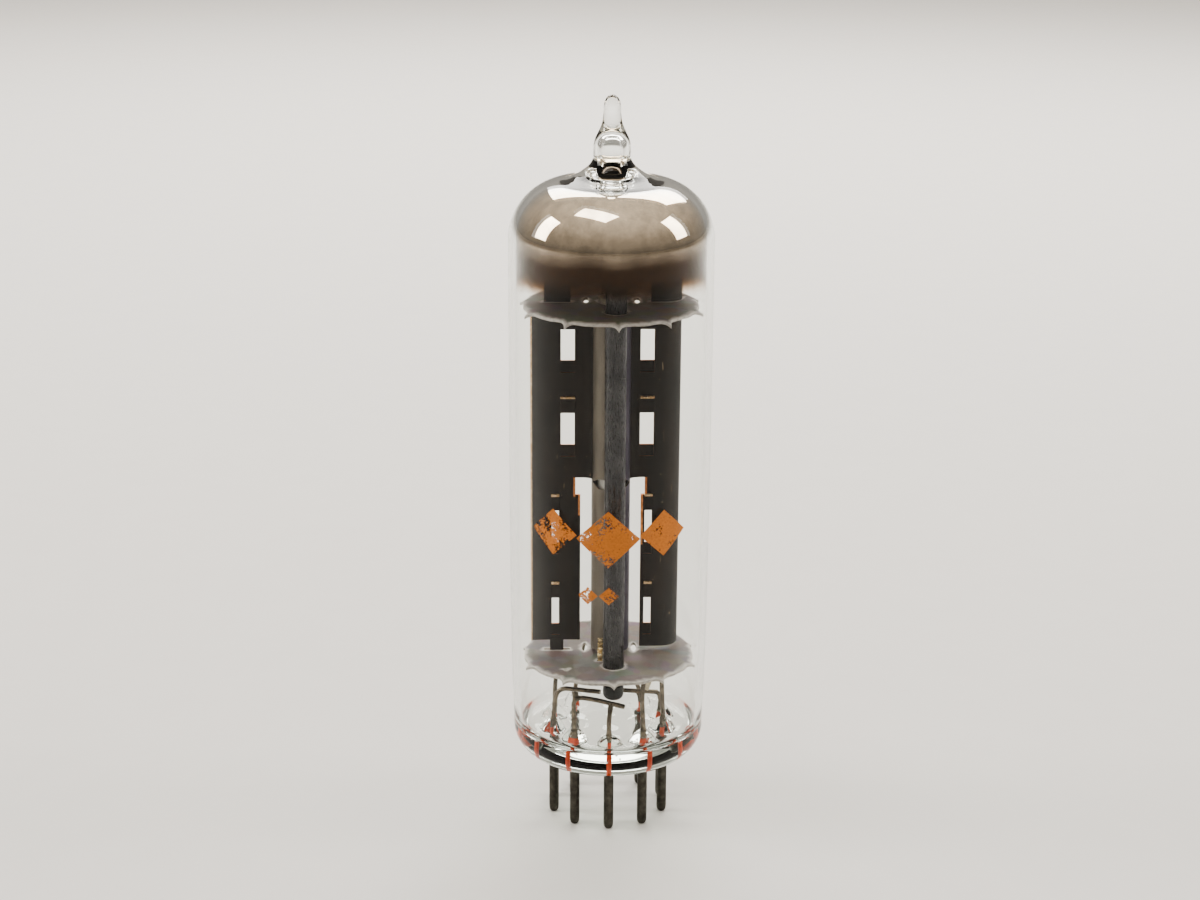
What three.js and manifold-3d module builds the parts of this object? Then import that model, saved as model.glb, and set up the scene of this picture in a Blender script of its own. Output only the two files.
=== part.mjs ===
// Nine-pin miniature vacuum tube: a glass bulb with a sealed exhaust tip, a pressed glass base with nine
// pins, and inside it a blackened finned plate round a coated cathode, a slim post, two mica spacers,
// a getter and the leads.
// Millimetres, +Z up. The origin is on the tube's axis, level with the pin tips. -Y is the front.
import * as THREE from "three";
import { mergeVertices } from "three/addons/utils/BufferGeometryUtils.js";
import Module from "manifold-3d";

const wasm = await Module();
wasm.setup();

// ---------------------------------------------------------------- driving dimensions
const ROUND = 40; // facets round the glass
const BASE_Z = 6.5; // underside of the glass base, above the pin tips
const BASE_R = 9.87; // glass radius at the base
const BASE_CORNER = 3.2; // radius of the base's lower corner
const SEAL_Z = 10.8; // joint between base and bulb
const SEAL_GAP = 0.02;
const BULB_R = 10.22; // glass radius from the middle of the bulb up
const BULB_SWELL = 8; // height over which the glass widens above the base
const WALL = 0.76; // bulb wall
const SHOULDER_Z = 61; // start of the shoulder
const SHOULDER_R = 6; // radius of the shoulder's arc
const TIP_Z = 75.2; // top of the exhaust tip

const STEM_TOP_Z = 9.4; // upper face of the base button
const BEAD_R = 1.25; // glass bead round each lead, at its foot
const BEAD_TOP_R = 0.62;
const BEAD_HEIGHT = 0.95;

const PIN_CIRCLE_R = 5.945; // pin circle 11.89 across
const PIN_R = 0.508;
const PIN_COUNT = 9;
const PIN_PITCH = THREE.MathUtils.degToRad(36);
const PIN_TURN = THREE.MathUtils.degToRad(1.2); // the whole base is turned a little in the view
const PIN_TOP_Z = 9.0;
const PIN_CLEARANCE = 0.07; // between a pin and its hole in the glass
const LEAD_R = 0.24; // inner lead wires
const LEAD_FOOT_Z = 9.05;

const MICA_THICKNESS = 0.28;
const LOWER_MICA_Z = 17.3; // underside
const UPPER_MICA_Z = 54.4; // underside
const MICA_R = 8.72; // edge between the spikes
const LOWER_SPIKE_R = 9.22; // tips of the spikes, against the glass
const UPPER_SPIKE_R = 9.36;
const MICA_SPIKES = 11;
const LOWER_MICA_TURN = THREE.MathUtils.degToRad(3.7);
const UPPER_MICA_TURN = THREE.MathUtils.degToRad(4.8);

const CAGE_X = 0.12; // centre of the plate and cathode
const CAGE_Y = 0.34;
const CAGE_TURN = THREE.MathUtils.degToRad(2.6);
const SHEET = 0.3; // plate fins, two sheets thick
const COLUMN_R = 1.97;
const COLUMN_WALL = 0.2;
const COLUMN_FOOT_Z = 17.9;
const PLATE_TOP_Z = 54.1;
const SLOT_Z = 36.05; // pointed slot across the front of the column
const SLOT_HEIGHT = 1.05;
const SLOT_FLAT = 1.3; // half-length of the slot's full height
const NOTCH_TOP_Z = 36.35; // fins stand clear of the column below this height
const NOTCH_STEP_Z = 34.5;
const EAR_TOP_Z = 57.2; // fin ears above the upper mica
const EAR_X = 3.9; // inner end of the right ear
const CURL_X = 5.3; // the right fin is flat out to here, then curls back
const CURL_R = 1.75;
const CURL_SWEEP = THREE.MathUtils.degToRad(80);

const CATHODE_R = 1.36;
const CATHODE_BORE_R = 1.24;
const CATHODE_FOOT_Z = 16.2;
const CATHODE_TOP_Z = 55.2;

const POST_X = 0.52;
const POST_Y = -4.4;
const POST_R = 1.04;
const POST_BORE_R = 0.88;
const POST_FOOT_Z = 15.6;
const POST_TOP_Z = 57.8;
const POST_CAP_FOOT_Z = 14.0;

const FIT = 0.1; // clearance of a piece in a mica hole

// ---------------------------------------------------------------- finishes
const finish = (color, roughness, metalness) =>
  new THREE.MeshStandardMaterial({ color, roughness, metalness });
const CLEAR_GLASS = new THREE.MeshStandardMaterial({
  color: 0xe6ebe8, roughness: 0.05, metalness: 0, transparent: true, opacity: 0.3,
});
const PIN_METAL = finish(0x77746a, 0.45, 1);
const LEAD_METAL = finish(0x8d8578, 0.35, 1);
const MICA = finish(0xa39a98, 0.5, 0);
const CARBON_BLACK = finish(0x17130f, 0.8, 0.2);
const GREY_METAL = finish(0x5a5957, 0.5, 0.8);
const POST_METAL = finish(0x47474a, 0.4, 0.9);
const OXIDE_WHITE = finish(0xe9e7df, 0.9, 0);
const BRIGHT_NICKEL = finish(0xb7a88a, 0.3, 1);
const HEATER_WHITE = finish(0xdcdcd6, 0.85, 0);

// ---------------------------------------------------------------- helpers
const tube = new THREE.Group();

function piece(name, geometry, material, parent = tube) {
  const mesh = new THREE.Mesh(geometry, material);
  mesh.name = name;
  parent.add(mesh);
  return mesh;
}

const at = (x, y) => new THREE.Vector2(x, y);
const point = (x, y, z) => new THREE.Vector3(x, y, z);

// A profile of (radius, height) points turned about Z.
function turned(profile, facets = ROUND) {
  return new THREE.LatheGeometry(profile, facets).rotateX(Math.PI / 2);
}

// A closed outline in the XY plane, raised along Z from one height to another.
function raised(shape, from, to, curveSegments = 12) {
  return new THREE.ExtrudeGeometry(shape, { depth: to - from, bevelEnabled: false, curveSegments })
    .translate(0, 0, from);
}

function arcPoints(cx, cy, radius, from, to, steps) {
  return Array.from({ length: steps + 1 }, (_, i) => {
    const angle = from + ((to - from) * i) / steps;
    return at(cx + radius * Math.cos(angle), cy + radius * Math.sin(angle));
  });
}

function circleShape(x, y, radius) {
  const shape = new THREE.Shape();
  shape.absarc(x, y, radius, 0, 2 * Math.PI);
  return shape;
}

function boxShape(x0, y0, x1, y1) {
  return new THREE.Shape([at(x0, y0), at(x1, y0), at(x1, y1), at(x0, y1)]);
}

function box(x0, y0, z0, x1, y1, z1) {
  return new THREE.BoxGeometry(x1 - x0, y1 - y0, z1 - z0)
    .translate((x0 + x1) / 2, (y0 + y1) / 2, (z0 + z1) / 2);
}

function solid(geometry) {
  const bare = geometry.clone().deleteAttribute("normal").deleteAttribute("uv");
  const merged = mergeVertices(bare, 1e-4);
  return new wasm.Manifold(
    new wasm.Mesh({
      numProp: 3,
      vertProperties: new Float32Array(merged.attributes.position.array),
      triVerts: new Uint32Array(merged.index.array),
    }),
  );
}

// A body joined with some geometries, then cut by others.
function shaped(body, joins, cuts) {
  let result = solid(body);
  for (const join of joins) result = result.add(solid(join));
  for (const cut of cuts) result = result.subtract(solid(cut));
  const mesh = result.getMesh();
  return new THREE.BufferGeometry()
    .setAttribute("position", new THREE.BufferAttribute(mesh.vertProperties, 3))
    .setIndex(new THREE.BufferAttribute(mesh.triVerts, 1));
}

// A wire's centre line through given points. Each ring of the swept tube sits on one point.
class BentWire extends THREE.Curve {
  constructor(points) {
    super();
    this.points = points;
  }
  getPoint(t) {
    const last = this.points.length - 1;
    const i = Math.min(Math.floor(t * last + 1e-9), last - 1);
    return this.points[i].clone().lerp(this.points[i + 1], t * last - i);
  }
  getPointAt(u) {
    return this.getPoint(u);
  }
  getTangentAt(u) {
    const last = this.points.length - 1;
    const i = Math.round(u * last);
    const before = this.points[Math.max(i - 1, 0)];
    const after = this.points[Math.min(i + 1, last)];
    return after.clone().sub(before).normalize();
  }
}

// The same points with every inner corner rounded to the given radius.
function rounded(corners, radius, steps = 4) {
  const points = [corners[0]];
  for (let i = 1; i < corners.length - 1; i += 1) {
    const back = corners[i - 1].clone().sub(corners[i]);
    const ahead = corners[i + 1].clone().sub(corners[i]);
    const reach = Math.min(radius, 0.48 * back.length(), 0.48 * ahead.length());
    const start = corners[i].clone().addScaledVector(back.normalize(), reach);
    const end = corners[i].clone().addScaledVector(ahead.normalize(), reach);
    points.push(...new THREE.QuadraticBezierCurve3(start, corners[i], end).getPoints(steps));
  }
  points.push(corners.at(-1));
  return points;
}

function swept(points, section) {
  return new THREE.ExtrudeGeometry(section, {
    steps: points.length - 1, extrudePath: new BentWire(points), curveSegments: 4,
  });
}

function wireSection(radius, sides = 8) {
  return new THREE.Shape(arcPoints(0, 0, radius, 0, 2 * Math.PI, sides).slice(0, -1));
}

function wire(corners, radius = LEAD_R, bend = 0.9, sides = 8) {
  return swept(rounded(corners, bend), wireSection(radius, sides));
}

// ---------------------------------------------------------------- glass bulb and base
function glassRadius(z) {
  const swell = 1 - Math.exp(-Math.max(z - SEAL_Z, 0) / BULB_SWELL);
  return BASE_R + (BULB_R - BASE_R) * swell;
}

function glassEnvelope() {
  const sideHeights = [SEAL_Z + SEAL_GAP, 13, 16, 20, 26, 36];
  const shoulderFlat = BULB_R - SHOULDER_R;
  const shoulderEnd = THREE.MathUtils.degToRad(82);
  const shoulder = arcPoints(shoulderFlat, SHOULDER_Z, SHOULDER_R, 0, shoulderEnd, 8);
  const outerTip = new THREE.SplineCurve([
    shoulder.at(-1), at(3.8, 67.25), at(2.95, 67.75), at(2.2, 68.4), at(1.84, 69.1), at(1.86, 69.9),
    at(1.72, 70.8), at(1.36, 71.6), at(1.02, 72.4), at(0.86, 73.4), at(0.84, 74.1), at(0.62, 74.85),
    at(0.28, TIP_Z - 0.06), at(0, TIP_Z),
  ]).getPoints(20).slice(1);
  const innerTip = new THREE.SplineCurve([
    at(0, 71.2), at(0.55, 71.05), at(1, 70.5), at(1.1, 69.7), at(0.98, 68.8), at(1.3, 67.4),
    at(2.2, 66.6), at(3.4, 66.22),
  ]).getPoints(11);
  const innerShoulder = arcPoints(
    shoulderFlat, SHOULDER_Z, SHOULDER_R - WALL, shoulderEnd, 0, 8,
  );
  const outerSide = sideHeights.map((z) => at(glassRadius(z), z));
  const innerSide = sideHeights.map((z) => at(glassRadius(z) - WALL, z)).reverse();
  const profile = [
    ...outerSide, ...shoulder, ...outerTip, ...innerTip, ...innerShoulder, ...innerSide, outerSide[0],
  ];
  return turned(profile);
}

function pinPlace(index) {
  const angle = PIN_TURN + (index - (PIN_COUNT - 1) / 2) * PIN_PITCH;
  return at(PIN_CIRCLE_R * Math.sin(angle), -PIN_CIRCLE_R * Math.cos(angle));
}

function glassStem() {
  const innerR = glassRadius(SEAL_Z) - WALL;
  const filletR = SEAL_Z - STEM_TOP_Z;
  const profile = [
    at(0, BASE_Z),
    ...arcPoints(BASE_R - BASE_CORNER, BASE_Z + BASE_CORNER, BASE_CORNER, -Math.PI / 2, 0, 8),
    at(BASE_R, SEAL_Z),
    ...arcPoints(innerR - filletR, SEAL_Z, filletR, 0, -Math.PI / 2, 5),
    at(0, STEM_TOP_Z),
  ];
  const beadFoot = STEM_TOP_Z - 0.3;
  const beadTop = STEM_TOP_Z + BEAD_HEIGHT;
  const beadProfile = [
    at(0, beadFoot), at(BEAD_R, beadFoot), at(BEAD_R, STEM_TOP_Z + 0.15),
    at(BEAD_R * 0.8, STEM_TOP_Z + 0.6), at(BEAD_TOP_R, beadTop), at(0, beadTop),
  ];
  const holeR = PIN_R + PIN_CLEARANCE;
  const beads = [];
  const holes = [];
  for (let i = 0; i < PIN_COUNT; i += 1) {
    const place = pinPlace(i);
    beads.push(turned(beadProfile, 12).translate(place.x, place.y, 0));
    holes.push(raised(circleShape(place.x, place.y, holeR), BASE_Z - 1, PIN_TOP_Z + 2, 8));
  }
  return shaped(turned(profile), beads, holes);
}

piece("glass_envelope", glassEnvelope(), CLEAR_GLASS);
piece("glass_stem", glassStem(), CLEAR_GLASS);

// ---------------------------------------------------------------- pins
function pin() {
  const flat = 0.26; // radius of the flat at the tip
  return turned([
    at(0, 0), at(flat, 0), at(PIN_R * 0.86, 0.16), at(PIN_R, 0.5), at(PIN_R, PIN_TOP_Z),
    at(0, PIN_TOP_Z),
  ], 12);
}

for (let i = 0; i < PIN_COUNT; i += 1) {
  const place = pinPlace(i);
  piece("base_pin_" + (i + 1), pin(), PIN_METAL).position.set(place.x, place.y, 0);
}

// ---------------------------------------------------------------- inner leads
// Corners above each pin, as [x, y, z]; the foot on the pin comes first by itself.
const UNDER_MICA_Z = LOWER_MICA_Z - 0.15;
const HEATER_FOOT_Z = 14.6;
const LEAD_CORNERS = [
  [[-3.4, 4.5, 12.6], [-2.6, 3.6, UNDER_MICA_Z]],
  [[-5.65, 1.7, 12.8], [-5.4, 0.6, 15.4], [-5.4, 0.6, UNDER_MICA_Z]],
  [[-5.3, -1.96, 14.1], [-0.8, -3.5, 14.3]],
  [[-3.5, -4.88, 14.35], [-1.3, -4.7, 13.95], [1.66, -4.3, 13.0]],
  [[0.1, -5.85, 12], [0.3, -5.15, 13.75]],
  [[3.4, -4.74, 14.4], [3.75, -4.5, UNDER_MICA_Z]],
  [[5.6, -1.72, 12.7], [5.45, -1.6, UNDER_MICA_Z]],
  [[5.4, 2, 12], [1.1, 0.34, 12.9], [0.9, 0.34, HEATER_FOOT_Z - 0.3]],
  [[3, 4.5, 12.2], [-0.5, 1.4, 13], [-0.65, 0.34, HEATER_FOOT_Z - 0.3]],
];

LEAD_CORNERS.forEach((corners, i) => {
  const place = pinPlace(i);
  const line = [point(place.x, place.y, LEAD_FOOT_Z), ...corners.map((c) => point(...c))];
  piece("inner_lead_" + (i + 1), wire(line), LEAD_METAL);
});

// ---------------------------------------------------------------- plate: column and fins
const cage = new THREE.Group();
cage.position.set(CAGE_X, CAGE_Y, 0);
cage.rotation.z = CAGE_TURN;
tube.add(cage);

function plateColumn() {
  const ring = circleShape(0, 0, COLUMN_R);
  ring.holes.push(circleShape(0, 0, COLUMN_R - COLUMN_WALL));
  const slot = new THREE.Shape([
    at(-COLUMN_R, SLOT_Z), at(-SLOT_FLAT, SLOT_Z - SLOT_HEIGHT / 2),
    at(SLOT_FLAT, SLOT_Z - SLOT_HEIGHT / 2), at(COLUMN_R, SLOT_Z),
    at(SLOT_FLAT, SLOT_Z + SLOT_HEIGHT / 2), at(-SLOT_FLAT, SLOT_Z + SLOT_HEIGHT / 2),
  ]);
  const cutter = raised(slot, 0, COLUMN_R + 1).rotateX(Math.PI / 2);
  return shaped(raised(ring, COLUMN_FOOT_Z, PLATE_TOP_Z, 16), [], [cutter]);
}

// Windows in a fin: [centre across, half-width, lower edge, upper edge].
const FIN_WINDOWS = {
  left: [[-4.42, 0.71, 47.4, 53.4], [-4.42, 0.71, 38.6, 44.75], [-5.67, 0.38, 28.1, 34.4],
    [-5.67, 0.38, 19.2, 24.9]],
  right: [[3.6, 0.71, 47.4, 53.4], [3.6, 0.71, 38.6, 44.75], [3.85, 0.38, 28.1, 34.4],
    [3.85, 0.38, 19.2, 24.9]],
};
const LIP = 0.35; // how far the lip over a window stands forward

function windowLips(windows) {
  return windows.map(([x, half, , top]) =>
    box(x - half - 0.05, -SHEET / 2 - LIP, top - 0.02, x + half + 0.05, 0, top + 0.16));
}

function windowCuts(windows) {
  return windows.map(([x, half, low, top]) => box(x - half, -3, low, x + half, 3, top));
}

function leftFin() {
  const end = -8.2;
  const root = -COLUMN_R - 0.05;
  const foot = 18.65;
  const tab = box(-6.22, -SHEET / 2, LOWER_MICA_Z - 0.9, -4.82, SHEET / 2, foot + 0.5);
  const ear = box(-6.8, -SHEET / 2, PLATE_TOP_Z - 0.5, -4.17, SHEET / 2, EAR_TOP_Z);
  const hem = box(end, -SHEET / 2 - 0.15, foot, end + 0.22, 0, PLATE_TOP_Z);
  const sheet = box(end, -SHEET / 2, foot, root, SHEET / 2, PLATE_TOP_Z);
  const clear = [
    box(-3.62, -1, NOTCH_STEP_Z - 0.01, root + 0.1, 1, NOTCH_TOP_Z),
    box(-3.12, -1, foot - 1, root + 0.1, 1, NOTCH_STEP_Z),
  ];
  const windows = FIN_WINDOWS.left;
  return shaped(sheet, [hem, tab, ear, ...windowLips(windows)], [...windowCuts(windows), ...clear]);
}

// The right fin's outline seen from above: flat from one end, then curled back.
function curledOutline(from, half, sweep) {
  const quarter = Math.PI / 2;
  return [
    at(from, -half), at(CURL_X, -half),
    ...arcPoints(CURL_X, CURL_R, CURL_R + half, -quarter, sweep - quarter, 8).slice(1),
    ...arcPoints(CURL_X, CURL_R, CURL_R - half, sweep - quarter, -quarter, 8),
    at(from, half),
  ];
}

function rightFin() {
  const root = COLUMN_R + 0.05;
  const foot = COLUMN_FOOT_Z;
  const outline = new THREE.Shape(curledOutline(root, SHEET / 2, CURL_SWEEP));
  const ear = raised(
    new THREE.Shape(curledOutline(EAR_X, SHEET / 2, CURL_SWEEP)), PLATE_TOP_Z - 0.5, EAR_TOP_Z,
  );
  const clear = [
    box(root - 0.1, -1, NOTCH_STEP_Z - 0.01, 3.48, 1, NOTCH_TOP_Z),
    box(root - 0.1, -1, foot - 1, 3.08, 1, NOTCH_STEP_Z),
  ];
  const windows = FIN_WINDOWS.right;
  return shaped(
    raised(outline, foot, PLATE_TOP_Z), [ear, ...windowLips(windows)], [...windowCuts(windows), ...clear],
  );
}

piece("plate_column", plateColumn(), GREY_METAL, cage);
piece("left_plate_fin", leftFin(), CARBON_BLACK, cage);
piece("right_plate_fin", rightFin(), CARBON_BLACK, cage);

// ---------------------------------------------------------------- cathode and heater
function hollowTube(outerR, boreR, from, to, curveSegments = 10) {
  const ring = circleShape(0, 0, outerR);
  ring.holes.push(circleShape(0, 0, boreR));
  return raised(ring, from, to, curveSegments);
}

piece(
  "cathode_sleeve", hollowTube(CATHODE_R, CATHODE_BORE_R, CATHODE_FOOT_Z, CATHODE_TOP_Z),
  OXIDE_WHITE, cage,
);

// A heater folded into runs side by side, with both feet below.
function foldedHeater(runs, spacing, low, high, feet, radius) {
  const corners = [];
  for (let i = 0; i < runs; i += 1) {
    const x = (i - (runs - 1) / 2) * spacing;
    const bottom = i === 0 || i === runs - 1 ? feet : low;
    corners.push(...(i % 2 ? [point(x, 0, high), point(x, 0, bottom)]
      : [point(x, 0, bottom), point(x, 0, high)]));
  }
  return wire(corners, radius, spacing / 2, 6);
}

piece("heater", foldedHeater(4, 0.52, 19, 53, HEATER_FOOT_Z, 0.16), HEATER_WHITE, cage);

// ---------------------------------------------------------------- front post
piece("front_post", hollowTube(POST_R, POST_BORE_R, POST_FOOT_Z, POST_TOP_Z, 8), POST_METAL)
  .position.set(POST_X, POST_Y, 0);

piece("post_end_cap", turned([
  at(0, POST_CAP_FOOT_Z), at(0.55, POST_CAP_FOOT_Z + 0.1), at(0.9, POST_CAP_FOOT_Z + 0.4),
  at(POST_R, POST_CAP_FOOT_Z + 0.85), at(POST_R, POST_FOOT_Z - 0.05), at(0, POST_FOOT_Z - 0.05),
], 24), CARBON_BLACK).position.set(POST_X, POST_Y, 0);

piece("post_heater", foldedHeater(2, 0.7, 19, 53, POST_FOOT_Z + 0.1, 0.2), HEATER_WHITE)
  .position.set(POST_X, POST_Y, 0);

// ---------------------------------------------------------------- ribbons
const ribbonSection = (width, thick) => boxShape(-width / 2, -thick / 2, width / 2, thick / 2);

// A ribbon whose width runs along X, bent along a path in the YZ plane at one X.
function ribbonAcross(x, width, thick, path, bend = 0.3) {
  const line = rounded(path.map(([y, z]) => point(0, y, z)), bend, 3);
  const left = [];
  const right = [];
  line.forEach((p, i) => {
    const before = line[Math.max(i - 1, 0)];
    const after = line[Math.min(i + 1, line.length - 1)];
    const along = after.clone().sub(before).normalize();
    left.push(at(p.y - (along.z * thick) / 2, p.z + (along.y * thick) / 2));
    right.push(at(p.y + (along.z * thick) / 2, p.z - (along.y * thick) / 2));
  });
  const outline = new THREE.Shape([...left, ...right.reverse()]);
  return new THREE.ExtrudeGeometry(outline, { depth: width, bevelEnabled: false })
    .rotateY(Math.PI / 2)
    .rotateX(Math.PI / 2)
    .translate(x - width / 2, 0, 0);
}

const MICA_TOP_Z = LOWER_MICA_Z + MICA_THICKNESS;
const UPPER_MICA_TOP_Z = UPPER_MICA_Z + MICA_THICKNESS;
const STRAP_X = -0.85;
const STRAP_Y = -3.05;
piece("post_strap", ribbonAcross(STRAP_X, 0.5, 0.1, [
  [-1.85, 19.6], [-1.85, 18.4], [STRAP_Y, 18.2], [STRAP_Y, LOWER_MICA_Z - 0.8],
]), BRIGHT_NICKEL);

piece("cathode_ribbon", swept(
  [point(3.9, 1.2, 12.6), point(4.35, 1.25, 13.9), point(4.9, 1.3, UNDER_MICA_Z)],
  ribbonSection(0.75, 0.12),
), BRIGHT_NICKEL);

// ---------------------------------------------------------------- getter
const GETTER_Z = 60.6;
const GETTER_R = 2.1;
const GETTER_Y = 0.9;
const SUPPORT_Y = 2.6;
piece("getter_ring", turned([
  at(GETTER_R - 0.4, GETTER_Z), at(GETTER_R + 0.4, GETTER_Z), at(GETTER_R + 0.4, GETTER_Z + 0.5),
  at(GETTER_R + 0.28, GETTER_Z + 0.5), at(GETTER_R + 0.28, GETTER_Z + 0.14),
  at(GETTER_R - 0.28, GETTER_Z + 0.14), at(GETTER_R - 0.28, GETTER_Z + 0.5),
  at(GETTER_R - 0.4, GETTER_Z + 0.5), at(GETTER_R - 0.4, GETTER_Z),
], 24), BRIGHT_NICKEL).position.set(0, GETTER_Y, 0);

piece("getter_support", ribbonAcross(-0.7, 0.5, 0.12, [
  [SUPPORT_Y, UPPER_MICA_Z - 0.6], [SUPPORT_Y, GETTER_Z - 0.2], [SUPPORT_Y - 0.9, GETTER_Z - 0.1],
]), BRIGHT_NICKEL);

// ---------------------------------------------------------------- mica spacers
// A disc whose edge dips between pointed spikes.
function micaOutline(turn, spikeR) {
  const pitch = (2 * Math.PI) / MICA_SPIKES;
  const spikeHalf = 0.062; // half-angle of a spike's foot
  const edge = [];
  for (let i = 0; i < MICA_SPIKES; i += 1) {
    const middle = turn - Math.PI / 2 + i * pitch;
    const places = [
      [-spikeHalf, MICA_R], [-spikeHalf * 0.4, MICA_R + 0.22], [-0.006, spikeR],
      [0.006, spikeR], [spikeHalf * 0.4, MICA_R + 0.22], [spikeHalf, MICA_R],
      [pitch * 0.3, MICA_R + 0.04], [pitch * 0.5, MICA_R + 0.07], [pitch * 0.7, MICA_R + 0.04],
    ];
    edge.push(...places.map(([a, r]) => at(r * Math.cos(middle + a), r * Math.sin(middle + a))));
  }
  return new THREE.Shape(edge);
}

// A closed outline given in the cage's own turned frame, moved to the tube's frame.
function inCage(corners) {
  return new THREE.Shape(corners.map((c) =>
    c.rotateAround(at(0, 0), CAGE_TURN).add(at(CAGE_X, CAGE_Y))));
}

function tabSlot(x0, x1, half) {
  return inCage([at(x0, -half), at(x1, -half), at(x1, half), at(x0, half)]);
}

function ovalHole(x, y, halfWidth, halfLength) {
  const shape = new THREE.Shape();
  shape.absellipse(x, y, halfWidth, halfLength, 0, 2 * Math.PI, false, 0);
  return shape;
}

const ovals = [-2.5, 2.62].map((x) => ovalHole(x, 0.8, 0.28, 1.2));
const postHole = circleShape(POST_X, POST_Y, POST_R + FIT);
const cathodeHole = circleShape(CAGE_X, CAGE_Y, CATHODE_R + FIT);
const slotHalf = SHEET / 2 + FIT;
const earSlot = curledOutline(EAR_X - FIT, slotHalf, CURL_SWEEP + FIT / CURL_R);

function lowerMica() {
  const outline = micaOutline(LOWER_MICA_TURN, LOWER_SPIKE_R);
  outline.holes.push(
    postHole, cathodeHole, ...ovals,
    tabSlot(-6.85, -4.15, slotHalf),
    boxShape(STRAP_X - 0.35, STRAP_Y - 0.15, STRAP_X + 0.35, STRAP_Y + 0.15),
    new THREE.Shape([at(-4.6, -5.35), at(-3.9, -5.35), at(-4.25, -5.75)]),
  );
  return raised(outline, LOWER_MICA_Z, MICA_TOP_Z, 8);
}

function upperMica() {
  const outline = micaOutline(UPPER_MICA_TURN, UPPER_SPIKE_R);
  outline.holes.push(
    postHole, cathodeHole, ...ovals,
    tabSlot(-6.9, -4.07, slotHalf),
    inCage(earSlot),
    boxShape(-0.7 - 0.35, SUPPORT_Y - 0.16, -0.7 + 0.35, SUPPORT_Y + 0.16),
  );
  return raised(outline, UPPER_MICA_Z, UPPER_MICA_TOP_Z, 8);
}

piece("lower_mica", lowerMica(), MICA);
piece("upper_mica", upperMica(), MICA);

export default tube;
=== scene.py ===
import math

import bmesh
import bpy
import numpy as np
from bpy.props import FloatProperty, FloatVectorProperty, PointerProperty
from mathutils import Matrix, Vector
from mathutils.geometry import delaunay_2d_cdt


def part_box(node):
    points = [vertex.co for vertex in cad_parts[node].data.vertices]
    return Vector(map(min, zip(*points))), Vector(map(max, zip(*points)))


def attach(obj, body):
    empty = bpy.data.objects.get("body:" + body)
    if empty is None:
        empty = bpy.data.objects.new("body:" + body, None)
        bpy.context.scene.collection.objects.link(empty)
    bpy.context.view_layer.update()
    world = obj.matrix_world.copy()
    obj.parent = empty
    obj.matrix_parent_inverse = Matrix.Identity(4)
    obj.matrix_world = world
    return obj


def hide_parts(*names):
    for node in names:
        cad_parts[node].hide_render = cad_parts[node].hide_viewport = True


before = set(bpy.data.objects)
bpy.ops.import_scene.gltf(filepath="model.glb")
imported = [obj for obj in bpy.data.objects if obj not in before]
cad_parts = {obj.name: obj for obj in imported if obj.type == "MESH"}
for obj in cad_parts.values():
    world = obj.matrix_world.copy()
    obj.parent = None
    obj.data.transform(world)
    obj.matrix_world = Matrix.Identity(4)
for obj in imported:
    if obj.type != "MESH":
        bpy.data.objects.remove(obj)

bl_info = {
    "name": "Nine-pin vacuum tube",
    "version": (1, 0, 0),
    "blender": (4, 5, 0),
    "location": "3D Viewport > Sidebar > Tube",
    "description": "Makes a sealed glass vacuum tube with its film, electrodes, leads and pins",
    "category": "Add Mesh",
}

MM = 0.001  # shapes are worked out in millimetres and stored in metres
TURN = 2 * math.pi
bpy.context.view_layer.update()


# ---------------------------------------------------------------- places taken from the frame
def corners_of(node):
    """A CAD node's lowest and highest corners, in millimetres."""
    low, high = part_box(node)
    return np.array(low) / MM, np.array(high) / MM


def middle_of(node):
    """The middle of a CAD node's box, in millimetres."""
    low, high = corners_of(node)
    return (low + high) / 2


BASE_Z = corners_of("glass_stem")[0][2]
SEAL_Z = corners_of("glass_stem")[1][2]
BASE_R = corners_of("glass_stem")[1][0]
BULB_R = corners_of("glass_envelope")[1][0]
TIP_Z = corners_of("glass_envelope")[1][2]
PIN_PLACES = np.array([middle_of(f"base_pin_{i}")[:2] for i in range(1, 10)])
PIN_R = (corners_of("base_pin_5")[1][0] - corners_of("base_pin_5")[0][0]) / 2
POST = middle_of("front_post")
CAGE = middle_of("cathode_sleeve")
CAGE_TURN = math.radians(2.6)
PLATE_TOP = corners_of("plate_column")[1][2]

BASE_CORNER = 3.2  # radius of the base's lower corner
BULB_SWELL = 8.0  # height over which the glass widens above the base
SHOULDER_Z = 61.0
SHOULDER_R = 6.0
STEM_TOP = 9.4  # floor of the glass between the beads
COLUMN_R = 1.97
COLUMN_WALL = 0.2
COLUMN_SLOT_Z = 36.05  # pointed slot across the front of the column
COLUMN_SLOT_HALF = 0.525  # half its height
COLUMN_SLOT_FLAT = 1.3  # half the length over which it has its full height
CATHODE_R, CATHODE_BORE = 1.36, 1.24
POST_R, POST_BORE = 1.04, 0.88
MICA_R = 8.72  # edge between the spikes
MICA_SPIKES = 11
NOTCH_TOP = 36.35
NOTCH_STEP = 34.5
FIN_HALF = 0.15  # half the thickness of a fin, which is two sheets
CURL_X = 5.3  # the right fin is flat out to here, then curls back
CURL_R = 1.75
CURL_SWEEP = math.radians(80)
EAR_X = 3.9  # inner end of the right fin's ear


# ---------------------------------------------------------------- settings
class TubeGlassSettings(bpy.types.PropertyGroup):
    """Sizes and colour of the glass."""

    wall: FloatProperty(
        name="Wall", description="Thickness of the bulb's wall", default=0.00076, unit="LENGTH"
    )
    bead_height: FloatProperty(
        name="Bead height", description="Height of the glass bead round each lead",
        default=0.0015, unit="LENGTH",
    )
    tint: FloatVectorProperty(
        name="Tint", description="Colour of light that has passed through the glass",
        subtype="COLOR", size=3, min=0, max=1, default=(0.985, 0.995, 0.985),
    )


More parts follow.
